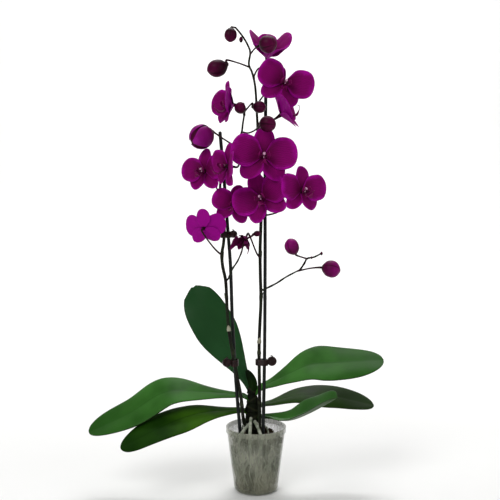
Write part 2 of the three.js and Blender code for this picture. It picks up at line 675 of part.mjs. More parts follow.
// Places are in flower widths: across, back and up from the lowest side shoot.
const flowers = [
  { name: 'flower_01', spike: 'right', at: 3.56, via: [[0.04, 0.14, 3.72]],
    centre: [0.19, 0.16, 3.93], size: 1.05,
    compass: 14, pitch: 58, roll: 8, fold: 38 },
  { name: 'flower_02', spike: 'right', at: 3.1, via: [[0.15, 0.16, 3.3]],
    centre: [0.46, -0.18, 3.47], size: 0.96,
    compass: 8, pitch: -6, roll: 20, fold: 0, top: { angle: -60, lift: -34 } },
  { name: 'flower_03', spike: 'right', at: 2.68, via: [[0.17, -0.12, 2.66]],
    centre: [0.42, -0.14, 2.94], size: 0.92,
    compass: 80, pitch: 33, roll: 0, fold: 16 },
  { name: 'flower_04', spike: 'left', at: 2.95, via: [[-0.24, 0.12, 3.06]],
    centre: [-0.4, -0.08, 3.1], size: 0.92,
    compass: -72, pitch: 4, roll: 0, fold: 20 },
  { name: 'flower_05', spike: 'right', at: 2.2, via: [[0.1, -0.2, 2.15]],
    centre: [0.11, -0.66, 2.24], size: 1.06,
    compass: 4, pitch: 4, roll: 4, fold: 0 },
  { name: 'flower_06', spike: 'left', at: 1.62, via: [[-0.68, 0.0, 1.78]],
    centre: [-0.85, -0.07, 2.02], size: 0.84,
    compass: -32, pitch: 6, roll: -4, fold: 0 },
  { name: 'flower_07', spike: 'right', at: 1.27, via: [[0.38, -0.12, 1.35]],
    centre: [0.72, -0.56, 1.7], size: 0.88,
    compass: 34, pitch: 4, roll: 4, fold: 0 },
  { name: 'flower_08', spike: 'right', at: 1.18, via: [[0.02, -0.26, 1.3]],
    centre: [0.09, -0.47, 1.58], size: 0.96,
    compass: -16, pitch: 2, roll: -24, fold: 0 },
  { name: 'flower_09', spike: 'left', at: 2.44, via: [[-0.3, -0.12, 2.3]],
    centre: [-0.45, -0.64, 2.08], size: 0.84,
    compass: -64, pitch: 4, roll: 4, fold: 4 },
  { name: 'flower_10', spike: 'left', at: 0.62, via: [[-0.68, -0.12, 0.72]],
    centre: [-0.86, -0.27, 1.08], size: 0.74,
    compass: 168, pitch: 12, roll: 4, fold: 12 },
  { name: 'flower_11', spike: 'right', at: 0.58, via: [[0.01, -0.22, 0.66]],
    centre: [-0.17, -0.26, 0.93], size: 0.5,
    compass: -30, pitch: -40, roll: 20, fold: 40, wilted: true },
  { name: 'flower_12', spike: 'left', at: 1.24, via: [[-0.46, -0.04, 1.28]],
    centre: [-0.36, -0.15, 1.46], size: 0.76,
    compass: -4, pitch: 6, roll: 14, fold: 0 },
];

function addFlower(flower) {
  const size = flower.size * FLOWER_WIDTH;
  const matrix = flowerMatrix(flower, amongBlooms(...flower.centre), size);
  const end = new THREE.Vector3(0, 0.8 * FLOWER_BACK, 0).applyMatrix4(matrix);
  const back = new THREE.Vector3(0, FLOWER_BACK + 0.08, 0).applyMatrix4(matrix);
  const stalk = pedicel(flower, [...flower.via.map((p) => amongBlooms(...p)), back], end, PEDICEL_RADIUS);
  const blades = [...tepals(flower), ovary()].map((part) => part.applyMatrix4(matrix));
  addPiece(flower.name, join([...blades, stalk]), FINISH.petal());
  if (!flower.wilted) {
    const lip = join(lipParts().map((part) => part.applyMatrix4(matrix)));
    addPiece(flower.name.replace('flower', 'lip'), lip, FINISH.lip());
  }
}
flowers.forEach(addFlower);

// ---------------------------------------------------------------- buds
// A bud's body runs from its stalk to its blunt tip; aim is the way that it points.
const BUD_OUTLINE = [[0, 0.34], [0.2, 0.85], [0.5, 1.0], [0.78, 0.8], [1, 0.16]];
const BUD_SIDES = 7;
const buds = [
  { name: 'bud_01', shoot: rightSpikeCurve, share: 1, via: [], centre: [-0.42, -0.01, 4.24],
    aim: [-0.1, -0.1, -1],
    width: 0.86, length: 1.0 },
  { name: 'bud_02', spike: 'right', at: 3.93, via: [[0.0, -0.26, 4.0]], centre: [0.18, -0.5, 4.01],
    aim: [0.6, -1, -0.2], width: 1.15, length: 1.3 },
  { name: 'bud_03', spike: 'right', at: 3.72, via: [[-0.3, 0, 3.79], [-0.5, -0.02, 3.83]],
    centre: [-0.64, -0.03, 3.7], aim: [-1, -0.2, -0.35], width: 1.2, length: 1.45 },
  { name: 'bud_04', spike: 'left', at: 3.03, via: [[-0.21, -0.13, 3.12]], centre: [-0.26, -0.26, 3.03],
    aim: [-0.4, -1, 0.4], width: 0.78, length: 0.9 },
  { name: 'bud_05', spike: 'left', at: 3.0, via: [[-0.06, -0.14, 3.12]], centre: [0.05, -0.22, 3.05],
    aim: [1, -0.5, 0], width: 0.82, length: 0.95 },
  { name: 'bud_06', spike: 'left', at: 2.66, via: [[-0.11, -0.3, 2.63], [0.04, -0.64, 2.7]],
    centre: [0.17, -0.86, 2.73], aim: [1, -0.6, -0.1], width: 1.05, length: 1.15 },
  { name: 'bud_07', spike: 'left', at: 2.45, via: [[-0.56, -0.0, 2.56], [-0.69, -0.02, 2.65]],
    centre: [-0.9, -0.06, 2.58], aim: [-0.8, -0.5, -0.5], width: 1.6, length: 1.75 },
  { name: 'bud_08', shoot: tipShootCurve, share: 0.45, via: [], centre: [0.59, -0.2, 0.77],
    aim: [-0.5, -0.2, 1],
    width: 1.0, length: 1.2 },
  { name: 'bud_09', shoot: rightShootCurve, share: 0.93, via: [[0.92, -0.24, 0.42]],
    centre: [1.24, -0.2, 0.4],
    aim: [1, 0, -0.15], width: 1.2, length: 1.3 },
  { name: 'bud_10', shoot: leftShootCurve, share: 1, via: [[-0.17, -0.46, 0.9], [-0.05, -0.46, 0.98]],
    centre: [0.01, -0.44, 1.0], aim: [1, 0, 0.2], width: 0.4, length: 0.5 },
];

function addBud(bud) {
  const centre = amongBlooms(...bud.centre);
  const aim = vector(bud.aim).normalize();
  const length = bud.length * BUD_WIDTH;
  const radius = (bud.width * BUD_WIDTH) / 2;
  const foot = centre.clone().addScaledVector(aim, -length / 2);
  const turn = new THREE.Quaternion().setFromUnitVectors(new THREE.Vector3(0, 0, 1), aim);
  const rings = BUD_OUTLINE.map(([share, half]) => Array.from({ length: BUD_SIDES }, (_, i) => {
    const around = (2 * Math.PI * i) / BUD_SIDES;
    return new THREE.Vector3(radius * half * Math.cos(around), radius * half * Math.sin(around),
      length * share)
      .applyQuaternion(turn)
      .add(foot);
  }));
  const end = foot.clone().addScaledVector(aim, 0.1 * length);
  const stalk = pedicel(bud, bud.via.map((p) => amongBlooms(...p)), end, Math.min(PEDICEL_RADIUS,
    0.3 * radius));
  addPiece(bud.name, join([loft(rings), stalk]), FINISH.bud());
}
buds.forEach(addBud);

// ---------------------------------------------------------------- clips
// A clip is a band round a stake and its spike, with a round grip at one side.
const clips = [
  { name: 'clip_lower_left', stake: leftStakeCurve, spike: leftSpikeCurve,
    height: () => SHOOT_HEIGHT - 103,
    grip: 205, gripRadius: 6.5 },
  { name: 'clip_lower_right', stake: rightStakeCurve, spike: rightSpikeCurve,
    height: () => SHOOT_HEIGHT - 103,
    grip: 10, gripRadius: 7 },
  { name: 'clip_upper_left', stake: leftStakeCurve, spike: leftSpikeCurve,
    height: () => SHOOT_HEIGHT + 0.96 * FLOWER_WIDTH, grip: 340, gripRadius: 5.5 },
];

// The outline round two discs of one radius: a slot shape.
function slotOutline(target, a, b, radius) {
  const turn = Math.atan2(b.y - a.y, b.x - a.x);
  target.absarc(b.x, b.y, radius, turn - Math.PI / 2, turn + Math.PI / 2, false);
  target.absarc(a.x, a.y, radius, turn + Math.PI / 2, turn + (3 * Math.PI) / 2, false);
  target.closePath();
  return target;
}

function addClip(clip) {
  const z = clip.height();
  const a = pointAtHeight(clip.stake, z).point;
  const b = pointAtHeight(clip.spike, z).point;
  const inner = Math.max(STAKE_RADIUS, SPIKE_RADIUS) + 2 * GAP + 0.3;
  const outer = inner + CLIP_WALL;
  const options = { depth: CLIP_HEIGHT, bevelEnabled: false, curveSegments: 5 };
  const band = new THREE.ExtrudeGeometry(slotOutline(new THREE.Shape(), a, b, outer), options);
  const bore = new THREE.ExtrudeGeometry(slotOutline(new THREE.Shape(), a, b, inner),
    { ...options, depth: CLIP_HEIGHT + 4 }).translate(0, 0, -2);
  const turn = THREE.MathUtils.degToRad(clip.grip);
  const middle = a.clone().lerp(b, 0.5);
  const out = new THREE.Vector3(Math.cos(turn), Math.sin(turn), 0);
  const reach = outer + Math.abs(b.clone().sub(a).dot(out)) / 2 + clip.gripRadius - GRIP_BITE;
  const grip = new THREE.CylinderGeometry(clip.gripRadius, clip.gripRadius, GRIP_WIDTH, 12)
    .rotateZ(turn)
    .translate(middle.x + reach * out.x, middle.y + reach * out.y, CLIP_HEIGHT / 2 + 1);
  const whole = toSolid(band).add(toSolid(grip)).subtract(toSolid(bore));
  addPiece(clip.name, toGeometry(whole).translate(0, 0, z - CLIP_HEIGHT / 2), FINISH.clip());
}
clips.forEach(addClip);

export default orchid;
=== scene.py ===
"""A moth orchid in a clear nursery pot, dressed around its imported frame.

Shapes are worked out in millimetres and become metres when a mesh is made. +Z is up, and the
flowers face the front, -Y.
"""

import logging
import math
import random
from dataclasses import dataclass, field
from enum import Enum
from typing import Any, Callable, Optional, Sequence

import bmesh
import bpy
import numpy as np
from mathutils import Matrix, Quaternion, Vector


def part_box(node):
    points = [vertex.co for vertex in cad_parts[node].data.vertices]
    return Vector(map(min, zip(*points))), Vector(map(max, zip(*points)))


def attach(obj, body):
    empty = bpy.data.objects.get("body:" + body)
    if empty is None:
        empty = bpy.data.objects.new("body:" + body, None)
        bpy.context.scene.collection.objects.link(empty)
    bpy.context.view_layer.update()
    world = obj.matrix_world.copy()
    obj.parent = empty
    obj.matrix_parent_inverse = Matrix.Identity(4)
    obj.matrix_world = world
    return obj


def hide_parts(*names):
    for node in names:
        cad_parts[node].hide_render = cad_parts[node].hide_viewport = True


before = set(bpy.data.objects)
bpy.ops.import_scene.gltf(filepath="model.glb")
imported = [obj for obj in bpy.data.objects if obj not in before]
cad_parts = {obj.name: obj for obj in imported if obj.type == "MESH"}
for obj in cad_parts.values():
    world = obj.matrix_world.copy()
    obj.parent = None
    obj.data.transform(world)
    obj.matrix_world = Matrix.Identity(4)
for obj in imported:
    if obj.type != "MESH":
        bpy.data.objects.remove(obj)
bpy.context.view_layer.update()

logging.basicConfig(level=logging.INFO, format="%(message)s")
log = logging.getLogger("orchid")

MM = 0.001  # one millimetre, in metres
TURN = 2.0 * math.pi
BODY = "root"
MARKS = "marks"  # the mesh attribute that patterns read: along, across and a spare value
BARK_BELOW_RIM = 13.0  # in millimetres
Spot = tuple[float, float, float]


# ---------------------------------------------------------------- lines and skins


def point(x: float, y: float, z: float) -> np.ndarray:
    """Return a place in millimetres as an array."""
    return np.array([x, y, z], float)


def around(angle: float, reach: float = 1.0, z: float = 0.0) -> np.ndarray:
    """Return a place at an angle round the upright, in radians, and at a reach from it."""
    return point(reach * math.cos(angle), reach * math.sin(angle), z)


def unit(v: np.ndarray) -> np.ndarray:
    """Return the vector at length one."""
    return v / max(float(np.linalg.norm(v)), 1e-9)


def smooth(low: float, high: float, value: float) -> float:
    """Return 0 below low, 1 above high and an S-curve between them."""
    t = min(max((value - low) / (high - low), 0.0), 1.0)
    return t * t * (3.0 - 2.0 * t)


def crowd(share: float, most: float = 0.6) -> float:
    """Return a share moved so that even steps close up towards the end."""
    return most * math.sin(0.5 * math.pi * share) + (1.0 - most) * share


def rounded(across: float, least: float = 0.0) -> float:
    """Return 1 along the middle of a blade, and least where its round cross-section ends."""
    return least + (1.0 - least) * math.sqrt(max(1.0 - across * across, 0.0))


def hump(distance: float, width: float) -> float:
    """Return 1 at no distance, fading to nothing within about two widths."""
    return math.exp(-((distance / width) ** 2))


def stops(values: Sequence[float], share: float) -> float:
    """Return the straight-line value at a share of the way through evenly spaced stops."""
    return float(np.interp(share * (len(values) - 1), range(len(values)), values))


def swell(table: Sequence[tuple[float, float]], share: float) -> float:
    """Return a softly rounded value between listed (share, value) pairs.

    Args:
        table: The pairs, by rising share.
        share: Where to read, from 0 to 1.

    Returns:
        The value there, on one smooth curve through all the pairs.
    """
    places = [a for a, _ in table]
    values = [b for _, b in table]
    k = int(np.clip(np.searchsorted(places, share) - 1, 0, len(places) - 2))
    width = places[k + 1] - places[k]
    slopes = []
    for i in (k, k + 1):
        before, after = max(i - 1, 0), min(i + 1, len(places) - 1)
        slopes.append((values[after] - values[before]) / (places[after] - places[before]))
    t = min(max((share - places[k]) / width, 0.0), 1.0)
    rise = values[k + 1] - values[k]
    return (
        values[k]
        + t * width * slopes[0]
        + t * t * (3 * rise - width * (2 * slopes[0] + slopes[1]))
        + t * t * t * (width * (slopes[0] + slopes[1]) - 2 * rise)
    )


class Route:
    """A smooth line through places, measured along its own length."""

    FINENESS = 48  # samples between two places

    def __init__(self, places: Sequence[np.ndarray]) -> None:
        """Sample the line.

        Args:
            places: The places it passes through, in millimetres.
        """
        knots = [np.array(p, float) for p in places]
        padded = [2 * knots[0] - knots[1], *knots, 2 * knots[-1] - knots[-2]]
        samples = []
        for k in range(len(knots) - 1):
            samples.extend(self._stretch(*padded[k : k + 4]))
        samples.append(knots[-1])
        self.samples = np.array(samples)
        steps = np.linalg.norm(np.diff(self.samples, axis=0), axis=1)
        self.gone = np.concatenate([[0.0], np.cumsum(steps)])
        self.length = float(self.gone[-1])

    def _stretch(
        self, a: np.ndarray, b: np.ndarray, c: np.ndarray, d: np.ndarray
    ) -> list[np.ndarray]:
        """Sample the stretch from b to c of a centripetal Catmull-Rom line.

        Args:
            a: The place before the stretch.
            b: Its start.
            c: Its end.
            d: The place after it.

        Returns:
            Its samples, without the end.
        """
        before, here, after = (
            max(math.sqrt(float(np.linalg.norm(q - p))), 1e-4) for p, q in ((a, b), (b, c), (c, d))
        )
        leave = ((b - a) / before - (c - a) / (before + here) + (c - b) / here) * here
        arrive = ((c - b) / here - (d - b) / (here + after) + (d - c) / after) * here
        line = []
        for t in np.arange(self.FINENESS) / self.FINENESS:
            curve = -3 * b + 3 * c - 2 * leave - arrive
            line.append(b + leave * t + curve * t * t + (2 * b - 2 * c + leave + arrive) * t**3)
        return line

    def at(self, share: float) -> np.ndarray:
        """Return the place at a share of the length."""
        gone = min(max(share, 0.0), 1.0) * self.length
        return np.array([np.interp(gone, self.gone, self.samples[:, k]) for k in range(3)])

    def heading(self, share: float) -> np.ndarray:
        """Return the way the line runs at a share of its length."""
        return unit(self.at(share + 0.004) - self.at(share - 0.004))

    def share_at_height(self, z: float) -> float:
        """Return the share at which the climbing line reaches a height."""
        climb = np.maximum.accumulate(self.samples[:, 2])
        return float(np.interp(z, climb, self.gone)) / self.length


class Skin:
    """The points, faces and pattern marks of a mesh in the making, in millimetres."""

    DOME = ((0.35, 0.9), (0.8, 0.55))  # a tube's rounded end: how far out and how wide, in radii
    SEAM = point(0.3, 0.9, 0.2)  # a direction few lines take, which sets where a tube's seam runs

    def __init__(self) -> None:
        """Start empty."""
        self.points: list[np.ndarray] = []
        self.marks: list[Spot] = []
        self.faces: list[tuple[int, ...]] = []
        self.finishes: list[int] = []

    def add_point(self, place: np.ndarray, mark: Sequence[float]) -> int:
        """Add one point and return its number."""
        self.points.append(place)
        self.marks.append((float(mark[0]), float(mark[1]), float(mark[2])))
        return len(self.points) - 1

    def add_face(self, corners: tuple[int, ...], finish: int) -> None:
        """Add one face with a finish number."""
        self.faces.append(corners)
        self.finishes.append(finish)

    def loft(
        self,
        rings: Sequence[Sequence[np.ndarray]],
        marks: Sequence[Sequence[Sequence[float]]],
        finish: int = 0,
        loop: bool = False,
    ) -> None:
        """Add a closed skin over rings of equal count.

        Args:
            rings: Rows of points, each row going once round.
            marks: The marks of each point, laid out as the rings are.
            finish: Which of the piece's finishes the faces take.
            loop: True to join the last ring to the first, as on a band; else the ends are closed.
        """
        start = len(self.points)
        count = len(rings[0])
        for ring, row in zip(rings, marks):
            for place, mark in zip(ring, row):
                self.add_point(np.array(place, float), mark)
        for r in range(len(rings) if loop else len(rings) - 1):
            low, high = start + r * count, start + ((r + 1) % len(rings)) * count
            for i in range(count):
                j = (i + 1) % count
                self.add_face((low + i, low + j, high + j, high + i), finish)
        if loop:
            return
        for r, turn in ((0, 1), (len(rings) - 1, -1)):
            first = start + r * count
            hub = self.add_point(np.mean(rings[r], axis=0), np.mean(marks[r], axis=0))
            for i in range(count):
                pair = (first + i, first + (i + 1) % count)[::turn]
                self.add_face((hub, *pair), finish)

    def turned(
        self, rows: Sequence[Any], sides: int, spot: Callable[[Any, float], Any], finish: int = 0
    ) -> None:
        """Add a closed skin whose rings go once round.

        Args:
            rows: What sets one ring apart from the next.
            sides: Points in each ring.
            spot: Gives a point and its marks for a row and a share of the turn.
            finish: Which finish the faces take.
        """
        spots = [[spot(row, i / sides) for i in range(sides)] for row in rows]
        rings = [[place for place, _ in ring] for ring in spots]
        self.loft(rings, [[mark for _, mark in ring] for ring in spots], finish)

    def tube(
        self,
        route: Route,
        radius: Callable[[float, float], float],
        sides: int = 12,
        steps: int = 40,
        finish: int = 0,
    ) -> None:
        """Add a round tube with domed ends along a route.

        Args:
            route: The line it follows.
            radius: Its radius in millimetres for a share of the route and a share of the turn.
            sides: Points round it.
            steps: Rings along it.
            finish: Which finish the faces take.
        """
        across = unit(np.cross(route.heading(0.0), self.SEAM))
        rows = []
        for k, share in enumerate(np.linspace(0.0, 1.0, steps + 1)):
            centre, heading = route.at(share), route.heading(share)
            across = unit(across - heading * float(across @ heading))
            other = np.cross(heading, across)
            back = [(-out, small) for out, small in reversed(self.DOME)] if k == 0 else ()
            front = self.DOME if k == steps else ()
            for out, small in (*back, (0.0, 1.0), *front):
                rows.append((share, centre, heading, across, other, out, small))

        def spot(row: Any, turn: float) -> tuple[np.ndarray, Spot]:
            share, centre, heading, across, other, out, small = row
            size = radius(share, turn)
            spoke = across * math.cos(TURN * turn) + other * math.sin(TURN * turn)
            return centre + spoke * size * small + heading * size * out, (share, turn, 0.0)

        self.turned(rows, sides, spot, finish)

    def blade(
        self,
        middle: Callable[[float, float], np.ndarray],
        thickness: Callable[[float, float], float],
        rows: int,
        columns: int,
        finish: int = 0,
    ) -> None:
        """Add a thin closed blade, such as a leaf or a petal.

        Args:
            middle: The middle of the blade for a share along it and a place across, from -1 to 1.
            thickness: Its thickness in millimetres there.
            rows: Steps along it.
            columns: Steps across it.
            finish: Which finish the faces take.
        """
        shares = [crowd(k / rows) for k in range(rows + 1)]
        even = [k / columns for k in range(columns + 1)]
        places = [0.5 * (2.0 * e - 1.0 - math.cos(math.pi * e)) for e in even]  # close at the edges
        sheet = np.array([[middle(u, v) for v in places] for u in shares])
        facing = np.cross(np.gradient(sheet, axis=0), np.gradient(sheet, axis=1))
        facing /= np.maximum(np.linalg.norm(facing, axis=2, keepdims=True), 1e-9)
        rings, marks = [], []
        for r, u in enumerate(shares):
            half = [0.5 * thickness(u, v) for v in places]
            over = [sheet[r, c] + facing[r, c] * half[c] for c in range(columns + 1)]
            under = [sheet[r, c] - facing[r, c] * half[c] for c in range(columns - 1, 0, -1)]
            rings.append(over + under)
            marks.append([(u, v, -1.0) for v in places] + [(u, v, 1.0) for v in places[-2:0:-1]])
        self.loft(rings, marks, finish)

    def moved(self, matrix: Matrix) -> None:
        """Move every point so far by a matrix."""
        turn = np.array(matrix.to_3x3())
        shift = np.array(matrix.to_translation())
        self.points = [turn @ p + shift for p in self.points]

    def piece(
        self, name: str, finishes: Sequence["Finish"], nodes: Sequence[str] = ()
    ) -> bpy.types.Object:
        """Turn the skin into an object that rides the plant.

        Args:
            name: The piece's name.
            finishes: Its finishes, by finish number.
            nodes: The frame's nodes that it stands for.

        Returns:
            The new object.
        """
        mesh = bpy.data.meshes.new(name)
        mesh.from_pydata([tuple(p * MM) for p in self.points], [], self.faces)
        marks = mesh.attributes.new(MARKS, "FLOAT_VECTOR", "POINT")
        marks.data.foreach_set("vector", np.array(self.marks, np.float32).ravel())
        for finish in finishes:
            mesh.materials.append(finish.material())
        mesh.polygons.foreach_set("material_index", self.finishes)
        mesh.polygons.foreach_set("use_smooth", [True] * len(self.faces))
        edit = bmesh.new()
        edit.from_mesh(mesh)
        bmesh.ops.recalc_face_normals(edit, faces=edit.faces)
        edit.to_mesh(mesh)
        edit.free()
        made = stand(name, mesh)
        settle(made, nodes)
        return made


def stand(name: str, data: Any) -> bpy.types.Object:
    """Stand an object in the scene.

    Args:
        name: Its name.
        data: Its mesh, lamp or lens.

    Returns:
        The new object.
    """
    made = bpy.data.objects.new(name, data)
    bpy.context.scene.collection.objects.link(made)
    return made


def settle(made: bpy.types.Object, nodes: Sequence[str] = ()) -> None:
    """Make a piece ride the plant, stand for its nodes, and report it.

    Args:
        made: The piece.
        nodes: The frame's nodes that it stands for.
    """
    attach(made, BODY)
    if nodes:
        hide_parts(*nodes)
    log.info(
        "%s: %d faces, for %s", made.name, len(made.data.polygons), ", ".join(nodes) or "detail"
    )


# ---------------------------------------------------------------- finishes


def linear(code: str) -> tuple[float, float, float, float]:
    """Return an sRGB hex colour as linear red, green, blue and alpha."""
    parts = [int(code[k : k + 2], 16) / 255.0 for k in (1, 3, 5)]
    red, green, blue = (c / 12.92 if c <= 0.04045 else ((c + 0.055) / 1.055) ** 2.4 for c in parts)
    return red, green, blue, 1.0


def per_metre(size_mm: float) -> float:
    """Return the texture scale whose pattern repeats about every size_mm."""
    return 1.0 / (size_mm * MM)


class Kind(Enum):
    """The kinds of node in the patterns: type, inputs, the output read (None for all), settings."""

    MARKS = ("ShaderNodeAttribute", (), "Vector", {"attribute_name": MARKS})
    SPLIT = ("ShaderNodeSeparateXYZ", (0,), None, {})
    PLACE = ("ShaderNodeTexCoord", (), "Object", {})
    STRETCH = ("ShaderNodeMapping", (0, 3), 0, {})
    NOISE = ("ShaderNodeTexNoise", ("Vector", "Scale", "Detail"), 0, {})
    SUM = ("ShaderNodeMath", (0, 1), 0, {"operation": "ADD"})
    PRODUCT = ("ShaderNodeMath", (0, 1), 0, {"operation": "MULTIPLY"})
    MAXIMUM = ("ShaderNodeMath", (0, 1), 0, {"operation": "MAXIMUM"})
    ABSOLUTE = ("ShaderNodeMath", (0,), 0, {"operation": "ABSOLUTE"})
    SINE = ("ShaderNodeMath", (0,), 0, {"operation": "SINE"})
    EASE = ("ShaderNodeMapRange", (0, 1, 2, 3, 4), 0, {"interpolation_type": "SMOOTHSTEP"})
    MIX = ("ShaderNodeMix", (0, 6, 7), 2, {"data_type": "RGBA"})
    BUMP = ("ShaderNodeBump", ("Height", "Distance", "Strength"), 0, {})


@dataclass
class Weave:
    """The nodes of one material in the making."""

    tree: bpy.types.NodeTree
    shader: bpy.types.Node

    def feed(self, socket: bpy.types.NodeSocket, value: Any) -> None:
        """Give a socket a plain value, or link an output to it."""
        if isinstance(value, bpy.types.NodeSocket):
            self.tree.links.new(value, socket)
        else:
            socket.default_value = value

    def give(self, name: str, value: Any) -> None:
        """Give one of the shader's sockets a plain value or an output."""
        self.feed(self.shader.inputs[name], value)

    def add(self, kind: Kind, *values: Any) -> Any:
        """Add one node.

        Args:
            kind: What kind it is.
            values: What its inputs take, in the kind's order: an output, a number or a hex colour.

        Returns:
            The output that the kind is read at, or all of them.
        """
        type_name, inputs, output, settings = kind.value
        made = self.tree.nodes.new(type_name)
        for name, value in settings.items():
            setattr(made, name, value)
        for key, value in zip(inputs, values):
            self.feed(made.inputs[key], linear(value) if isinstance(value, str) else value)
        return made.outputs if output is None else made.outputs[output]

    def marks(self) -> Any:
        """Return the outputs of the three marks: along, across and spare."""
        return self.add(Kind.SPLIT, self.add(Kind.MARKS))

    def place(self, stretch: Spot = (1, 1, 1)) -> Any:
        """Return the object's own coordinates, stretched for a grain."""
        return self.add(Kind.STRETCH, self.add(Kind.PLACE), stretch)


@dataclass(frozen=True)
class Finish:
    """A real material and how its surface was made; each kind paints its own pattern."""

    name: str
    roughness: float = 0.5
    ior: float = 1.45
    gloss: float = 0.2  # the specular level: low on downy or dusty skin

    def material(self) -> bpy.types.Material:
        """Return the Blender material, made the first time it is asked for."""
        made = bpy.data.materials.get(self.name)
        if made is None:
            made = bpy.data.materials.new(self.name)
            made.use_nodes = True
            w = Weave(made.node_tree, made.node_tree.nodes["Principled BSDF"])
            w.give("Roughness", self.roughness)
            w.give("IOR", self.ior)
            w.give("Specular IOR Level", self.gloss)
            self.paint(w)
        return made

    def paint(self, w: Weave) -> None:
        """Set the shader's colour and relief; each finish does this in its own way."""
        raise NotImplementedError


@dataclass(frozen=True)
class PetalTissue(Finish):
    """Living petal: papery cells over branching veins and a matt face; its lighter rim is partly
    its own colour and partly painted light, the glow of the thin edge.
    """

    heart: str = "#580238"
    field: str = "#7e0460"
    # rim: a lighter margin, partly the petal's own colour and partly painted light for the glow of
    # its thin edge
    rim: str = "#b20ca2"
    reverse: str = "#9a0a8a"
    vein: str = "#40022a"
    veins: float = 9.0  # over the width of one tepal

    def paint(self, w: Weave) -> None:
        """Darken the heart and the veins, lighten the back, and lighten the rim, partly with
        painted light along the thin edge.
        """
        along, across, side = w.marks()
        where = w.place()
        cloud = w.add(Kind.NOISE, where, per_metre(11.0), 3.0)
        base = w.add(Kind.MIX, w.add(Kind.EASE, along, 0.0, 0.5), self.heart, self.field)
        edge = w.add(Kind.MAXIMUM, along, w.add(Kind.ABSOLUTE, across))
        # the rim mask: painted light along the thin outer edge, over a lighter margin
        tip = w.add(Kind.EASE, w.add(Kind.SUM, edge, w.add(Kind.PRODUCT, cloud, 0.5)), 0.85, 1.4)
        base = w.add(Kind.MIX, tip, base, self.rim)
        fan = w.add(Kind.PRODUCT, across, self.veins * math.pi)
        fan = w.add(
            Kind.SUM, fan, w.add(Kind.PRODUCT, w.add(Kind.NOISE, where, per_metre(6.0), 3.0), 5.0)
        )
        line = w.add(Kind.EASE, w.add(Kind.ABSOLUTE, w.add(Kind.SINE, fan)), 0.0, 0.6, 0.6, 0.0)
        base = w.add(Kind.MIX, line, base, self.vein)
        base = w.add(Kind.MIX, w.add(Kind.EASE, side, 0.2, -0.2, 0.0, 0.85), base, self.reverse)
        w.give("Base Color", base)
        w.give("Sheen Weight", 0.04)
        w.give("Sheen Roughness", 0.4)
        w.give("Sheen Tint", linear("#d018c0"))
        w.give("Normal", w.add(Kind.BUMP, w.add(Kind.SUM, line, cloud), 0.25 * MM, 0.35))


@dataclass(frozen=True)
class LipTissue(Finish):
    """Fleshy lip: thicker, waxier petal tissue, darker towards its base, partly its own colour and
    partly painted shade where it tucks under the column.
    """

    # deep: the base's colour, darkened further with painted shade under the column
    deep: str = "#3a0020"
    bright: str = "#7a0556"

    def paint(self, w: Weave) -> None:
        """Fade from the deep base to the brighter tip, with fine speckles."""
        along, _, _ = w.marks()
        speck = w.add(Kind.NOISE, w.place(), per_metre(1.2), 3.0)
        # darker at the base: partly the lip's colour, partly painted shade under the column
        fade = w.add(
            Kind.SUM, w.add(Kind.EASE, along, 0.0, 1.0, 0.0, 0.8), w.add(Kind.PRODUCT, speck, 0.3)
        )
        w.give("Base Color", w.add(Kind.MIX, fade, self.deep, self.bright))
        w.give("Normal", w.add(Kind.BUMP, speck, 0.2 * MM, 0.3))


@dataclass(frozen=True)
class ColumnTissue(Finish):
    """Waxy column and callus: pale pink, flushed deeper at the root."""

    root: str = "#8c2a64"
    cap: str = "#d6a2c2"

    def paint(self, w: Weave) -> None:
        """Fade from the pink root to the pale cap."""
        along, _, _ = w.marks()
        soft = w.add(Kind.NOISE, w.place(), per_metre(2.0), 3.0)
        fade = w.add(Kind.EASE, w.add(Kind.SUM, along, w.add(Kind.PRODUCT, soft, 0.2)), 0.15, 0.85)
        w.give("Base Color", w.add(Kind.MIX, fade, self.root, self.cap))


@dataclass(frozen=True)
class PlantSkin(Finish):
    """Smooth green skin over a stalk, flushed with brown or purple where the light reaches it."""

    green: str = "#1d2516"
    flush: str = "#110c09"
    patch_mm: float = 14.0

    def paint(self, w: Weave) -> None:
        """Lay long patches of the flush over the green, with fine grain."""
        where = w.place((1.0, 1.0, 0.3))
        patch = w.add(Kind.NOISE, where, per_metre(self.patch_mm), 3.0)
        tint = w.add(Kind.MIX, w.add(Kind.EASE, patch, 0.35, 0.65), self.green, self.flush)
        grain = w.add(Kind.NOISE, where, per_metre(1.0), 2.0)
        tint = w.add(Kind.MIX, w.add(Kind.PRODUCT, grain, 0.25), tint, self.flush)
        w.give("Base Color", tint)
        w.give("Normal", w.add(Kind.BUMP, grain, 0.15 * MM, 0.3))


@dataclass(frozen=True)
class BudSkin(Finish):
    """Closed sepals: a taut waxy skin with a seam where each pair of sepals meets."""

    dark: str = "#280114"
    light: str = "#520334"
    seam: str = "#14000b"
    foot: str = "#22180f"

    def paint(self, w: Weave) -> None:
        """Lighten towards the tip, darken the seams and green the foot."""
        along, across, _ = w.marks()
        cloud = w.add(Kind.NOISE, w.place(), per_metre(7.0), 3.0)
        tone = w.add(Kind.EASE, w.add(Kind.SUM, along, w.add(Kind.PRODUCT, cloud, 0.5)), 0.4, 1.4)
        tint = w.add(Kind.MIX, tone, self.dark, self.light)
        thirds = w.add(Kind.PRODUCT, across, 3.0 * math.pi)
        line = w.add(Kind.EASE, w.add(Kind.ABSOLUTE, w.add(Kind.SINE, thirds)), 0.0, 0.22, 0.8, 0.0)
        tint = w.add(Kind.MIX, line, tint, self.seam)
        tint = w.add(Kind.MIX, w.add(Kind.EASE, along, 0.16, 0.0, 0.0, 0.7), tint, self.foot)
        w.give("Base Color", tint)
        w.give(
            "Normal",
            w.add(Kind.BUMP, w.add(Kind.NOISE, w.place(), per_metre(1.0), 3.0), 0.12 * MM, 0.25),
        )


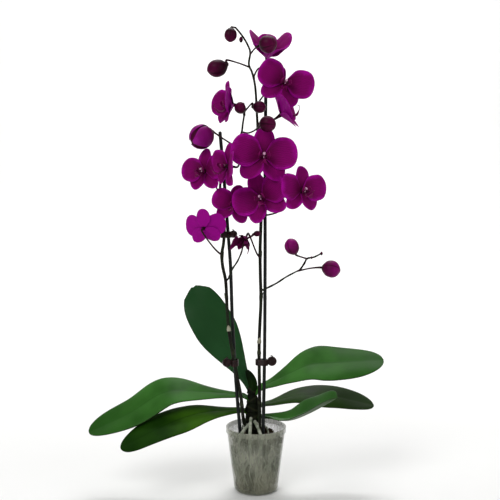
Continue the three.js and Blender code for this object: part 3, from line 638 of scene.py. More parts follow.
@dataclass(frozen=True)
class LeafCuticle(Finish):
    """Thick waxy cuticle over green flesh, with a sunken midrib and faint long veins."""

    deep: str = "#1f4a12"
    mid: str = "#2c5c1c"
    # light: the colour of the painted sheen patches
    light: str = "#386c28"
    under: str = "#28431a"
    margin: str = "#1c1711"
    width_mm: float = 66.0
    vein_mm: float = 2.6

    def paint(self, w: Weave) -> None:
        """Paint the flesh with patches of painted sheen and a darker tip, the midrib, the long
        veins, the paler underside and the dark margin.
        """
        along, across, side = w.marks()
        where = w.place()
        cloud = w.add(Kind.NOISE, where, per_metre(48.0), 2.0)
        tint = w.add(Kind.MIX, w.add(Kind.EASE, cloud, 0.25, 0.75), self.deep, self.mid)
        # painted sheen: lighter patches that fade from the foot towards the tip
        painted_sheen_mask = w.add(Kind.PRODUCT, cloud, w.add(Kind.EASE, along, 0.95, 0.3))
        tint = w.add(Kind.MIX, w.add(Kind.EASE, painted_sheen_mask, 0.2, 0.7), tint, self.light)
        tint = w.add(Kind.MIX, w.add(Kind.EASE, along, 0.62, 1.0, 0.0, 0.6), tint, self.deep)
        count = self.width_mm / self.vein_mm
        wander = w.add(Kind.PRODUCT, w.add(Kind.NOISE, where, per_metre(30.0), 1.0), 2.0)
        fan = w.add(Kind.SUM, w.add(Kind.PRODUCT, across, 0.5 * count * math.pi), wander)
        ridge = w.add(Kind.ABSOLUTE, w.add(Kind.SINE, fan))
        tint = w.add(Kind.MIX, w.add(Kind.EASE, ridge, 0.0, 0.5, 0.34, 0.0), tint, self.deep)
        off_rib = w.add(Kind.ABSOLUTE, across)
        tint = w.add(Kind.MIX, w.add(Kind.EASE, off_rib, 0.0, 0.05, 0.6, 0.0), tint, self.deep)
        tint = w.add(Kind.MIX, w.add(Kind.EASE, side, 0.2, -0.2, 0.0, 0.75), tint, self.under)
        tint = w.add(Kind.MIX, w.add(Kind.EASE, off_rib, 0.955, 0.995, 0.0, 0.9), tint, self.margin)
        w.give("Base Color", tint)
        pores = w.add(Kind.NOISE, where, per_metre(1.4), 2.0)
        rough = w.add(
            Kind.EASE,
            w.add(Kind.SUM, cloud, w.add(Kind.PRODUCT, pores, 0.3)),
            0.3, 0.9, self.roughness - 0.06, self.roughness + 0.1,
        )
        w.give("Roughness", rough)
        w.give(
            "Normal",
            w.add(
                Kind.BUMP, w.add(Kind.SUM, w.add(Kind.PRODUCT, ridge, 0.6), pores), 0.15 * MM, 0.3
            ),
        )


@dataclass(frozen=True)
class Velamen(Finish):
    """Spongy root skin: dry and silvery, with green showing where it is damp."""

    dry: str = "#aeb2a2"
    damp: str = "#7c8672"
    scar: str = "#57513f"

    def paint(self, w: Weave) -> None:
        """Mottle the dry skin with damp patches and small scars."""
        where = w.place()
        patch = w.add(Kind.NOISE, where, per_metre(7.0), 3.0)
        tint = w.add(Kind.MIX, w.add(Kind.EASE, patch, 0.4, 0.66), self.dry, self.damp)
        scars = w.add(Kind.NOISE, where, per_metre(1.6), 3.0)
        tint = w.add(Kind.MIX, w.add(Kind.EASE, scars, 0.6, 0.72, 0.0, 0.8), tint, self.scar)
        w.give("Base Color", tint)
        w.give("Normal", w.add(Kind.BUMP, scars, 0.3 * MM, 0.6))


@dataclass(frozen=True)
class BarkChip(Finish):
    """Composted conifer bark: dark damp chips, each its own brown, with a torn fibrous face."""

    damp: str = "#272018"
    red: str = "#483627"
    grey: str = "#5a5646"

    def paint(self, w: Weave) -> None:
        """Give each chip its own tone and lay short fibres over it."""
        tone, hue, _ = w.marks()
        tint = w.add(Kind.MIX, tone, self.damp, self.red)
        tint = w.add(Kind.MIX, w.add(Kind.EASE, hue, 0.55, 1.0, 0.0, 0.7), tint, self.grey)
        fibre = w.add(Kind.NOISE, w.place((1.0, 1.0, 0.25)), per_metre(1.5), 4.0)
        tint = w.add(Kind.MIX, w.add(Kind.EASE, fibre, 0.35, 0.7, 0.5, 0.0), tint, self.damp)
        w.give("Base Color", tint)
        w.give("Normal", w.add(Kind.BUMP, fibre, 0.8 * MM, 0.8))


@dataclass(frozen=True)
class SheathHusk(Finish):
    """Old leaf bases: tough dark sheaths that wrap the stem and dry to brown at their edges."""

    green: str = "#11180a"
    brown: str = "#0c0b06"
    edge: str = "#2b2c1a"

    def paint(self, w: Weave) -> None:
        """Streak the sheaths along the stem and pale their edges, which the spare mark gives."""
        _, _, edge = w.marks()
        streak = w.add(Kind.NOISE, w.place((1.0, 1.0, 0.15)), per_metre(3.0), 3.0)
        tint = w.add(Kind.MIX, w.add(Kind.EASE, streak, 0.35, 0.65), self.green, self.brown)
        tint = w.add(Kind.MIX, w.add(Kind.EASE, edge, 0.6, 1.0, 0.0, 0.6), tint, self.edge)
        w.give("Base Color", tint)
        w.give("Normal", w.add(Kind.BUMP, streak, 0.4 * MM, 0.5))


@dataclass(frozen=True)
class StainedCane(Finish):
    """Split bamboo dyed nearly black: a satin skin with fine grain along it."""

    stain: str = "#0a0d0d"
    worn: str = "#1a2223"

    def paint(self, w: Weave) -> None:
        """Draw long grain in a slightly paler stain."""
        grain = w.add(Kind.NOISE, w.place((1.0, 1.0, 0.04)), per_metre(1.2), 4.0)
        w.give(
            "Base Color",
            w.add(Kind.MIX, w.add(Kind.EASE, grain, 0.45, 0.75), self.stain, self.worn),
        )
        w.give("Normal", w.add(Kind.BUMP, grain, 0.15 * MM, 0.5))


@dataclass(frozen=True)
class MouldedClip(Finish):
    """Injection-moulded polypropylene dyed burgundy: glossy, with faint flow marks."""

    dye: str = "#1c0a0b"
    pale: str = "#321315"

    def paint(self, w: Weave) -> None:
        """Swirl a slightly paler dye through the plastic."""
        flow = w.add(Kind.NOISE, w.place((1.0, 1.0, 0.5)), per_metre(4.0), 3.0)
        w.give(
            "Base Color", w.add(Kind.MIX, w.add(Kind.EASE, flow, 0.45, 0.75), self.dye, self.pale)
        )
        w.give("Normal", w.add(Kind.BUMP, flow, 0.1 * MM, 0.2))


@dataclass(frozen=True)
class ClearPot(Finish):
    """Thermoformed clear polypropylene: fogged by damp inside and scuffed outside in streaks."""

    clear: str = "#7d8272"
    fog: str = "#a7a998"
    algae: str = "#767358"
    least: float = 0.28
    most: float = 0.54
    rim_hides: float = 0.58

    def paint(self, w: Weave) -> None:
        """Streak the wall with fog and algae, and let it hide more where it is fogged."""
        streak = w.add(Kind.NOISE, w.place((1.0, 1.0, 0.06)), per_metre(2.4), 4.0)
        cloud = w.add(Kind.NOISE, w.place(), per_metre(30.0), 2.0)
        height, _, thick = w.marks()
        fogged = w.add(Kind.SUM, w.add(Kind.PRODUCT, streak, 0.6), w.add(Kind.PRODUCT, cloud, 0.6))
        fogged = w.add(Kind.EASE, fogged, 0.42, 0.82)
        tint = w.add(Kind.MIX, fogged, self.clear, self.fog)
        low = w.add(Kind.EASE, height, 0.66, 0.1, 0.0, 0.7)
        tint = w.add(Kind.MIX, w.add(Kind.PRODUCT, low, cloud), tint, self.algae)
        w.give("Base Color", tint)
        hides = w.add(Kind.EASE, fogged, 0.0, 1.0, self.least, self.most)
        hides = w.add(Kind.MAXIMUM, hides, w.add(Kind.PRODUCT, thick, self.rim_hides))
        w.give("Alpha", hides)
        w.give("Normal", w.add(Kind.BUMP, streak, 0.15 * MM, 0.2))


@dataclass(frozen=True)
class StudioPaper(Finish):
    """Matt pale paper for the floor and backdrop."""

    white: str = "#f2f2f1"
    shade: str = "#ececeb"

    def paint(self, w: Weave) -> None:
        """Let the paper vary very slightly."""
        drift = w.add(Kind.NOISE, w.place(), per_metre(400.0), 3.0)
        w.give("Base Color", w.add(Kind.MIX, drift, self.white, self.shade))


# Typical refractive indices: 1.49 polypropylene, 1.53 dyed cane varnish, about 1.4 living tissue.
# In each petal tissue the rim colour is partly painted light, the glow of the thin edge.
PETAL = PetalTissue("petal_tissue_velvety", 0.6, 1.4, 0.06)
YOUNG_PETAL = PetalTissue(
    "petal_tissue_in_bud", 0.5, 1.4, 0.1,
    heart="#5c0340", field="#7c0668", rim="#a01c94", reverse="#86087a",
)
WILTED_PETAL = PetalTissue(
    "petal_tissue_wilted", 0.7, 1.4, 0.06,
    heart="#30061e", field="#540a3a", rim="#7c145e", reverse="#600e48", vein="#200412",
)
LIP = LipTissue("lip_tissue_fleshy", 0.45, 1.4, 0.15)
COLUMN = ColumnTissue("column_tissue_waxy", 0.45, 1.42)
STALK = PlantSkin(
    "flower_stalk_skin", 0.5, 1.42, 0.12, green="#34121f", flush="#1f0a10", patch_mm=9.0
)
SPIKE = PlantSkin("spike_skin", 0.5, 1.42, 0.16)
BRACT = PlantSkin("dry_bract_skin", 0.6, 1.42, 0.12, green="#3a3f2b", flush="#232419", patch_mm=4.0)
PALE_BRACT = PlantSkin(
    "bleached_bract_skin", 0.6, 1.42, green="#a9a894", flush="#77735f", patch_mm=4.0
)
BUD = BudSkin("bud_skin_waxy", 0.42, 1.42, 0.1)
PINK_BUD = BudSkin(
    "bud_skin_pink", 0.42, 1.42, 0.1, dark="#52023a", light="#86086c", seam="#38021f"
)
# In each leaf cuticle the light colour is the painted sheen.
LEAF = LeafCuticle("leaf_cuticle_waxy", 0.42, 1.42, 0.12)
BLUE_LEAF = LeafCuticle(
    "leaf_cuticle_bloomy", 0.46, 1.42, 0.14,
    deep="#143a18", mid="#1f4c22", light="#2c6034", under="#1c4420",
)
OLIVE_LEAF = LeafCuticle(
    "leaf_cuticle_olive", 0.46, 1.42, 0.12,
    deep="#162a08", mid="#20380e", light="#2c4a18", under="#1a2c0e",
)
SHADE_LEAF = LeafCuticle(
    "leaf_cuticle_shaded", 0.5, 1.42, 0.05,
    deep="#0f2c03", mid="#1e4206", light="#365e10", under="#162c08",
)
# The new leaf sits in the shaded hollow of the crown: these near-black greens are painted shade.
SHADED_NEW_LEAF = LeafCuticle(
    "new_leaf_cuticle_painted_shade", 0.5, 1.42, 0.1,
    deep="#050f02", mid="#0a1c04", light="#142c08", under="#0d2005",
)
ROOT = Velamen("root_velamen_dry", 0.8, 1.35, 0.15)
BARK = BarkChip("conifer_bark_composted", 0.9, 1.4, 0.15)
HUSK = SheathHusk("leaf_sheath_husk", 0.6, 1.42, 0.1)
CANE = StainedCane("bamboo_cane_stained", 0.45, 1.53, 0.2)
CLIP = MouldedClip("polypropylene_burgundy_moulded", 0.35, 1.49, 0.2)
POT = ClearPot("polypropylene_clear_thermoformed", 0.25, 1.49, 0.35)
PAPER = StudioPaper("studio_paper_matt", 0.95, 1.4, 0.1)


# ---------------------------------------------------------------- layout


def box_mm(node: str) -> tuple[np.ndarray, np.ndarray]:
    """Return a frame node's lowest and highest corners in millimetres."""
    low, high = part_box(node)
    return np.array(low) / MM, np.array(high) / MM


@dataclass(frozen=True)
class Layout:
    """Where the plant's pieces stand: heights from the pot, then flower widths among the blooms."""

    pot_height: float
    rim_radius: float
    medium_top: float
    bare_spike: float = 203.0  # from the rim up to the lowest side shoot
    flower_width: float = 88.0
    stem_x: float = -5.0
    stem_radius: float = 10.5
    stem_height: float = 62.0
    stake_radius: float = 2.6
    stake_depth: float = 70.0
    spike_radius: float = 2.5

    @property
    def shoot_height(self) -> float:
        """Return the height of the lowest side shoot."""
        return self.pot_height + self.bare_spike

    def on_bare(self, x: float, y: float, share: float) -> np.ndarray:
        """Return a place beside the bare part of a spike, by a share of its height."""
        return point(x, y, self.pot_height + self.bare_spike * share)

    def among(self, x: float, y: float, z: float) -> np.ndarray:
        """Return a place among the blooms, in flower widths across, back and up."""
        return point(
            x * self.flower_width, y * self.flower_width, self.shoot_height + z * self.flower_width
        )


# ---------------------------------------------------------------- pot, bark and roots


@dataclass
class NurseryPot:
    """The clear tapered pot with its rim band, ribs and drain holes."""

    height: float
    rim_radius: float
    base_radius: float = 33.0
    wall: float = 1.2
    rim_band: float = 8.0
    rim_step: float = 1.5
    corner: float = 6.0
    holes: int = 6
    hole_radius: float = 3.0
    hole_circle: float = 17.0
    ribs: int = 40
    rib_depth: float = 0.28
    sides: int = 160

    @property
    def band_foot(self) -> float:
        """Return the height of the rim band's lower edge."""
        return self.height - self.rim_band

    def side_radius(self, z: float) -> float:
        """Return the outer radius of the side at a height."""
        share = (z - self.corner) / (self.band_foot - self.corner)
        return self.base_radius + (self.rim_radius - self.rim_step - self.base_radius) * share

    def inner_radius(self, z: float) -> float:
        """Return the inner radius of the side at a height."""
        return self.side_radius(z) - self.wall

    def corner_line(self, inset: float) -> list[tuple[float, float, float]]:
        """Return the rounded corner's profile, at an inset into the wall."""
        reach, centre = self.corner - inset, self.base_radius - self.corner
        angles = np.linspace(0.0, 0.5 * math.pi, 9)
        return [
            (centre + reach * math.sin(a), self.corner - reach * math.cos(a), 0.0) for a in angles
        ]

    def profile(self) -> list[tuple[float, float, float]]:
        """Return radius, height and rib share from the outer base round to the inner base."""
        rim, foot, top = self.rim_radius, self.band_foot, self.height
        base = (3.0, 8.0, 13.0, 17.0, 21.0, 25.0)
        outer = [(r, 0.0, 0.0) for r in base] + self.corner_line(0.0)
        heights = np.linspace(self.corner + 3.0, foot - 1.5, 22)
        outer += [(self.side_radius(z), z, 1.0) for z in heights]
        step = self.side_radius(foot)
        outer += [
            (step + 0.1, foot - 0.35, 0.2), (step + 0.5, foot, 0.0), (rim - 0.4, foot + 0.1, 0.0)
        ]
        outer += [
            (rim - 0.08, foot + 0.5, 0.0), (rim - 0.25, foot + 2.0, 0.0),
            (rim - 0.3, top - 2.4, 0.0),
        ]
        outer += [(rim, top - 1.3, 0.0), (rim - 0.05, top - 0.5, 0.0), (rim - 0.5, top - 0.05, 0.0)]
        lip = rim - self.rim_step - self.wall
        inner = [(lip + 0.5, top, 0.0), (lip, top - 0.4, 0.0), (lip, foot + 1.0, 0.0)]
        inner += [(self.inner_radius(z), z, 0.7) for z in heights[::-1]]
        inner += self.corner_line(self.wall)[::-1]
        inner += [(r, self.wall, 0.0) for r in base[::-1]]
        return outer + inner

    def build(self) -> bpy.types.Object:
        """Make the pot and cut its drain holes.

        Returns:
            The pot.
        """

        def spot(row: tuple[float, float, float], turn: float) -> tuple[np.ndarray, Spot]:
            radius, z, ribbed = row
            rib = 0.5 * self.rib_depth * ribbed * (math.cos(self.ribs * TURN * turn) - 1.0)
            thick = smooth(self.band_foot - 1.0, self.band_foot + 0.5, z) + smooth(
                3.5, 0.8, z
            ) * 0.6
            return around(TURN * turn, radius + rib, z), (z / self.height, turn, min(thick, 1.0))

        skin = Skin()
        skin.turned(self.profile(), self.sides, spot)
        pot = skin.piece("nursery_pot", [POT], ["pot"])
        self.drill(pot)
        return pot

    def drill(self, pot: bpy.types.Object) -> None:
        """Cut the drain holes through the base.

        Args:
            pot: The pot.
        """
        cutter = bmesh.new()
        for k in range(self.holes):
            middle = around(TURN * (k + 0.5) / self.holes, self.hole_circle, 0.5) * MM
            radius = self.hole_radius * MM
            bmesh.ops.create_cone(
                cutter, cap_ends=True, segments=24, radius1=radius, radius2=radius, depth=5 * MM,
                matrix=Matrix.Translation(Vector(middle)),
            )
        mesh = bpy.data.meshes.new("drill")
        cutter.to_mesh(mesh)
        cutter.free()
        tool = stand("drill", mesh)
        cut = pot.modifiers.new("drain_holes", "BOOLEAN")
        cut.operation, cut.solver, cut.object = "DIFFERENCE", "EXACT", tool
        bpy.context.view_layer.update()
        done = bpy.data.meshes.new_from_object(
            pot.evaluated_get(bpy.context.evaluated_depsgraph_get())
        )
        pot.modifiers.clear()
        pot.data = done
        bpy.data.objects.remove(tool)


@dataclass
class BarkFill:
    """Loose bark chips round a dark core, up to the bark's level."""

    pot: NurseryPot
    top: float
    foot: float = 2.0
    wall_chips: int = 250
    top_chips: int = 110
    gap: float = 0.7  # between a chip and the pot's wall
    seed: int = 11

    def core(self, skin: Skin) -> None:
        """Add the dark core that fills the pot behind the chips.

        Args:
            skin: The bark's skin.
        """

        def spot(z: float, turn: float) -> tuple[np.ndarray, Spot]:
            gap = 15.0 if z == self.foot else 9.0  # narrower at the very bottom, for the corner
            reach = max(self.pot.inner_radius(max(z, self.pot.corner)) - gap, 5.0)
            return around(TURN * turn, reach, z), (0.15, 0.2, 0.0)

        skin.turned(list(np.linspace(self.foot, self.top - 3.0, 14)), 30, spot)

    def chip(self, skin: Skin, draw: random.Random, centre: np.ndarray, size: float) -> None:
        """Add one torn chip as the hull of scattered points.

        Args:
            skin: The bark's skin.
            draw: The chips' random numbers.
            centre: Its middle.
            size: Its length.
        """
        hull = bmesh.new()
        outward = math.atan2(centre[1], centre[0]) + draw.uniform(-0.5, 0.5)
        turn = Matrix.Rotation(outward, 3, "Z") @ Matrix.Rotation(draw.uniform(0, TURN), 3, "X")
        for _ in range(11):
            spot = Vector(
                (draw.uniform(-0.2, 0.2), draw.uniform(-0.5, 0.5), draw.uniform(-0.34, 0.34))
            )
            hull.verts.new(turn @ spot * size)
        found = bmesh.ops.convex_hull(hull, input=hull.verts)
        inside = [v for v in found["geom_interior"] if isinstance(v, bmesh.types.BMVert)]
        bmesh.ops.delete(hull, geom=inside, context="VERTS")
        hull.verts.index_update()
        start = len(skin.points)
        tone, hue = draw.random(), draw.random()
        for vert in hull.verts:
            spot = centre + np.array(vert.co)
            limit = self.pot.inner_radius(
                min(max(spot[2], self.pot.corner), self.pot.height)
            ) - self.gap
            limit -= 4.0 * smooth(9.0, 2.0, float(spot[2]))
            reach = math.hypot(spot[0], spot[1])
            if reach > limit:
                spot[:2] *= limit / reach
            spot[2] = max(spot[2], self.foot)
            skin.add_point(spot, (tone, hue, 0.0))
        for face in hull.faces:
            skin.add_face(tuple(start + v.index for v in face.verts), 0)
        hull.free()

    def build(self) -> bpy.types.Object:
        """Scatter the chips.

        Returns:
            The bark.
        """
        draw = random.Random(self.seed)
        skin = Skin()
        self.core(skin)
        for _ in range(self.wall_chips):
            z = draw.uniform(self.foot + 3.0, self.top - 3.0)
            angle = draw.uniform(0, TURN)
            reach = self.pot.inner_radius(max(z, self.pot.corner)) - draw.uniform(4.5, 9.0)
            self.chip(skin, draw, around(angle, reach, z), draw.uniform(8.0, 17.0))
        for _ in range(self.top_chips):
            angle = draw.uniform(0, TURN)
            reach = (self.pot.inner_radius(self.top) - 5.0) * math.sqrt(draw.uniform(0.03, 1.0))
            z = self.top - draw.uniform(0.5, 3.5)
            self.chip(skin, draw, around(angle, reach, z), draw.uniform(7.0, 14.0))
        made = skin.piece("bark_chips", [BARK], ["growing_medium"])
        made.data.polygons.foreach_set("use_smooth", [False] * len(made.data.polygons))
        return made


@dataclass
class RootSystem:
    """Roots that wind down inside the wall, and aerial roots that arch over the bark."""

    pot: NurseryPot
    plan: Layout
    left_stake: Route
    wall_roots: int = 6
    arc_start: float = 306.0
    arc: float = 250.0
    thickness: float = 2.1
    aerial_thickness: float = 2.4
    clearance: float = 1.0
    stake_gap: float = 0.6
    down_depths: tuple[float, float] = (12.0, 34.0)
    fine_roots: int = 30
    seed: int = 5

    def against_wall(self, degrees: float, z: float, radius: float) -> np.ndarray:
        """Return the place of a root that lies against the wall."""
        return around(math.radians(degrees), self.pot.inner_radius(z) - radius - self.clearance, z)

    def beside_left_stake(self, depth: float) -> float:
        """Return the turn, in degrees, at which a root clears the left stake at a depth."""
        z = self.plan.medium_top - depth
        cane = self.left_stake.at(self.left_stake.share_at_height(z))
        reach = self.pot.inner_radius(z) - self.aerial_thickness - self.clearance
        apart = self.plan.stake_radius + self.aerial_thickness + self.stake_gap
        return math.degrees(math.atan2(cane[1], cane[0]) + math.asin(apart / reach)) % 360.0

    def knobbly(
        self, thick: float, taper: Sequence[float], phase: float
    ) -> Callable[[float, float], float]:
        """Return a root's radius: a taper with swellings and a slightly flat side."""

        def radius(share: float, turn: float) -> float:
            wave = 1.0 + 0.08 * math.sin(17.0 * share + phase) + 0.05 * math.sin(
                41.0 * share + 2 * phase
            )
            return thick * stops(taper, share) * wave * (1.0 + 0.05 * math.cos(TURN * turn + phase))

        return radius

    def winding(self, start: float, sway: float, top: float, foot: float, thick: float) -> Route:
        """Return the route of a root that winds down the wall.

        Args:
            start: Its place round the pot, in degrees.
            sway: How far it swings; a negative sway starts the other way.
            top: Its upper height.
            foot: Its lower height.
            thick: Its radius.

        Returns:
            The route.
        """
        places = []
        for share in (0.0, 0.25, 0.5, 0.75, 1.0):
            swing = start + sway * (13 * math.sin(2.2 * math.pi * share) - 6 * share)
            places.append(self.against_wall(swing, top + (foot - top) * share, thick))
        return Route(places)

    def build_wall_roots(self) -> None:
        """Make the roots of the frame and the finer ones between them."""
        for k in range(self.wall_roots):
            start = self.arc_start + k * self.arc / (self.wall_roots - 1)
            top = self.plan.medium_top - 8 - 3 * (k % 3)
            foot = self.pot.corner + 5 + 4 * (k % 2)
            skin = Skin()
            route = self.winding(start, 1 if k % 2 == 0 else -1, top, foot, self.thickness)
            skin.tube(
                route, self.knobbly(self.thickness, (0.7, 1.0, 1.0, 0.6), k), sides=12, steps=48
            )
            skin.piece(f"winding_root_{k + 1}", [ROOT], [f"wall_root_{k + 1}"])
        draw = random.Random(self.seed)
        skin = Skin()
        for k in range(self.fine_roots):
            thick = draw.uniform(1.1, 1.7)
            top = self.plan.medium_top - draw.uniform(4.0, 30.0)
            foot = self.pot.corner + draw.uniform(4.0, 18.0)
            route = self.winding(
                k * 360.0 / self.fine_roots + draw.uniform(-9, 9),
                draw.uniform(-0.6, 0.6), top, foot, thick,
            )
            skin.tube(route, self.knobbly(thick, (0.6, 1.0, 1.0, 0.5), k), sides=8, steps=30)
        skin.piece("fine_roots", [ROOT])

    def build_aerial_roots(self) -> None:
        """Make the three pale roots that leave the stem above the bark."""
        thick, plan = self.aerial_thickness, self.plan
        for side, leave, out, downs, rise in (
            ("left", 242, 232, [self.beside_left_stake(depth) for depth in self.down_depths], 5),
            ("middle", 254, 256, (256, 253), 14),
            ("right", 290, 282, (279, 276), 9),
        ):
            axis = point(plan.stem_x, 0, plan.pot_height + rise)
            start = axis + around(math.radians(leave), plan.stem_radius - 1.0)
            shoulder = self.against_wall(out, plan.medium_top + 3, thick)
            arch = start + (shoulder - start) * 0.6
            arch[2] = plan.pot_height + 0.3 * rise - 2
            low = [
                self.against_wall(down, plan.medium_top - depth, thick)
                for down, depth in zip(downs, self.down_depths)
            ]
            skin = Skin()
            radius = self.knobbly(thick, (1.0, 1.0, 0.95, 0.6), leave)
            skin.tube(Route([start, arch, shoulder, *low]), radius, sides=14, steps=48)
            skin.piece(f"arching_root_{side}", [ROOT], [f"aerial_root_{side}"])
        skin = Skin()
        for degrees, lift, length in (
            (318, 2.0, 13.0), (332, 0.0, 16.0), (214, 3.0, 10.0), (300, 6.0, 9.0)
        ):
            turn = math.radians(degrees)
            start = point(plan.stem_x, 0, plan.pot_height + lift) + around(turn, 6.0)
            middle = start + around(turn, 1.0, 0.1) * length
            end = middle + around(turn, 0.5, -0.9) * length * 0.6
            radius = self.knobbly(2.0, (1.0, 0.9, 0.5), degrees)
            skin.tube(Route([start, middle, end]), radius, sides=10, steps=18)
        skin.piece("root_stubs", [ROOT])


# ---------------------------------------------------------------- stem, leaves, canes and clips


@dataclass(frozen=True)
class LeafShape:
    """One leaf: its foot over the rim, its size, its set and its spine in shares of its length."""

    node: str
    foot: tuple[float, float, float]
    length: float
    width: float
    roll: tuple[float, ...]
    fold: float
    spine: tuple[tuple[float, float, float], ...]
    finish: LeafCuticle = LEAF
    blunt: float = 6.0  # how square its tip is
    notch: float = 0.0  # how deep the tip is split, in millimetres
    wave: float = 1.0
    phase: float = 0.0


@dataclass
class Crown:
    """The stem of old sheaths, the grown leaves and the folded new one."""

    plan: Layout
    thickness: float = 3.2
    foot_share: float = 0.2
    tip_share: float = 0.05
    notched_tip_share: float = 0.18
    sheaths: int = 7
    stem_steps: int = 110
    stem_sides: int = 48

    def stem_route(self) -> Route:
        """Return the stem's middle line."""
        p = self.plan
        return Route([
            point(p.stem_x, 0, p.medium_top - 20),
            point(p.stem_x, 0, p.pot_height),
            point(p.stem_x - 1, 0, p.pot_height + p.stem_height),
        ])

    def build_stem(self) -> None:
        """Make the stem, stepped where each old sheath ends."""
        route, thick = self.stem_route(), self.plan.stem_radius

        def spot(share: float, turn: float) -> tuple[np.ndarray, Spot]:
            angle, climb = TURN * turn, share * self.sheaths
            lean = 0.5 * (1.0 - math.cos(angle + math.pi * (math.floor(climb) % 2)))
            rise = climb % 1.0
            edge = min(max((0.35 + 0.6 * lean - rise) / 0.5, 0.0), 1.0)
            size = stops((7.0, thick, thick, 8.0, 5.0), share) - 0.9 + 1.5 * edge * smooth(
                0.0, 0.12, rise
            )
            size *= 1.0 + 0.12 * math.cos(2 * angle)
            torn = 1.0 - abs(edge - 0.35) if 0.0 < edge < 0.7 else 0.0
            return route.at(share) + around(angle, size) * point(1.0, 0.94, 1.0), (
                share, turn, torn
            )

        skin = Skin()
        skin.turned(
            [k / self.stem_steps for k in range(self.stem_steps + 1)], self.stem_sides, spot
        )
        skin.piece("stem_sheaths", [HUSK], ["stem_base"])

    def half_share(self, u: float, blunt: float, tip: float) -> float:
        """Return a leaf's half width as a share of its widest, never less than its tip's."""
        grown = self.foot_share + (1.0 - self.foot_share) * smooth(-0.05, 0.6, u)
        return grown * max(max(1.0 - u**blunt, 0.0) ** 0.48, tip)

    def build_leaf(self, leaf: LeafShape) -> None:
        """Make one leaf, from its foot in the stem to its rounded tip.

        Args:
            leaf: Its shape.
        """
        plan = self.plan
        foot = point(leaf.foot[0], leaf.foot[1], plan.pot_height + leaf.foot[2])
        places = [foot + np.array(p) * leaf.length for p in leaf.spine]
        inner = point(plan.stem_x + 0.35 * (foot[0] - plan.stem_x), 0.4 * foot[1], foot[2] - 7.0)
        route = Route([inner, *places])
        whole = Route(places)
        before = 1.0 - whole.length / route.length
        tip = self.notched_tip_share if leaf.notch else self.tip_share

        def middle(row: float, v: float) -> np.ndarray:
            share = crowd(row, 0.45)
            u = max((share - before) / (1.0 - before), 0.0)
            centre, heading = route.at(share), route.heading(share)
            out = whole.heading(0.02) if share < before else heading
            across = unit(np.cross(out, point(0, 0, 1)))
            roll = math.radians(stops(leaf.roll, u)) * math.copysign(1.0, out[0])
            across = across * math.cos(roll) + np.cross(out, across) * math.sin(roll)
            up = np.cross(across, out)
            half = 0.5 * leaf.width * self.half_share(u, leaf.blunt, tip)
            keel = leaf.fold * half * (math.sqrt(v * v + 0.012) - 0.1)
            droop = -0.1 * half * v**4 * (1.0 - leaf.fold)
            ripple = leaf.wave * math.sin(TURN * (1.7 * u + leaf.phase) + 1.4 * v)
            ripple *= v * abs(v) * smooth(0.1, 0.5, u)
            round_off = 0.3 * half * (1.0 - rounded(v))
            split = leaf.notch * hump(v, 0.35)
            back = smooth(0.92, 1.0, u) * (round_off + split) if leaf.notch else 0.0
            return centre + across * (v * half) + up * (keel + droop + ripple) - heading * back

        def thickness(share: float, v: float) -> float:
            sunken_rib = 1.0 - 0.25 * hump(v, 0.07)
            return self.thickness * (1.35 - 0.9 * share) * (0.16 + 0.84 * rounded(v) * sunken_rib)

        skin = Skin()
        skin.blade(middle, thickness, rows=64, columns=26)
        skin.piece(f"{leaf.node}_blade", [leaf.finish], [leaf.node])

    def beside(self, side: int, out: float) -> float:
        """Return a place beside the stem: side is -1 or 1, and out is from its surface."""
        return self.plan.stem_x + side * (self.plan.stem_radius + out)

    def leaves(self) -> list[LeafShape]:
        """Return the six grown leaves: their fields stand in the order of LeafShape."""
        return [
            LeafShape(
                "leaf_back_left", (self.beside(-1, -3.5), 8, 62), 166, 66, (-100, -113, -110), 0.14,
                ((0, 0, 0), (-0.08, 0.07, 0.13), (-0.26, 0.14, 0.42), (-0.43, 0.2, 0.70),
                 (-0.51, 0.25, 0.86)), BLUE_LEAF, blunt=8.0, notch=4.0, wave=0.3, phase=0.1,
            ),
            LeafShape(
                "leaf_left_upper", (self.beside(-1, 0.5), 4, 44), 243, 68, (10, 30, 26), 0.12,
                ((0, 0, 0), (-0.1, 0, 0.01), (-0.27, -0.04, 0.035), (-0.49, -0.05, 0.035),
                 (-0.7, -0.07, -0.085), (-0.95, -0.09, -0.2)), wave=1.8, phase=0.4,
            ),
            LeafShape(
                "leaf_left_lower", (self.beside(-1, 0.5), 2, 22), 195, 60, (14, 22, 22), 0.12,
                ((0, 0, 0), (-0.15, -0.01, 0), (-0.34, -0.11, 0.01), (-0.52, -0.19, -0.025),
                 (-0.7, -0.26, -0.09), (-0.91, -0.32, -0.19)), SHADE_LEAF, wave=1.4, phase=0.7,
            ),
            LeafShape(
                "leaf_right_upper", (self.beside(1, 0.5), 3, 57), 196, 70, (20, 40, 26), 0.1,
                ((0, 0, 0), (0.1, 0.01, 0.04), (0.22, 0.02, 0.1), (0.38, 0.03, 0.17),
                 (0.58, 0.04, 0.185), (0.95, 0.06, 0.2)), wave=1.8, phase=0.2,
            ),
            LeafShape(
                "leaf_right_middle", (self.beside(1, 1.5), 4, 30), 178, 58, (10, 22, 20), 0.12,
                ((0, 0, 0), (0.1, 0.01, 0.02), (0.31, 0.03, 0.07), (0.59, 0.04, 0.07),
                 (0.78, 0.04, 0.03), (0.96, 0.04, -0.01)), OLIVE_LEAF, wave=1.5, phase=0.55,
            ),
            LeafShape(
                "leaf_right_lower", (self.beside(1, 0.5), -2, 13), 142, 58, (0, 20, 16), 0.5,
                ((0, 0, 0), (0.1, -0.03, 0.01), (0.3, -0.2, 0.04), (0.5, -0.36, 0.16),
                 (0.75, -0.56, 0.36)), wave=1.0, phase=0.3,
            ),
        ]

    def build_new_leaf(self) -> None:
        """Make the new leaf, folded along its midrib in the crown, in painted shade."""
        plan = self.plan
        top = plan.pot_height + plan.stem_height
        route = Route([
            point(plan.stem_x, -1, top - 10),
            point(plan.stem_x, -1, top + 2),
            point(plan.stem_x - 3, -2, top + 12),
            point(plan.stem_x - 9, -2, top + 24),
        ])

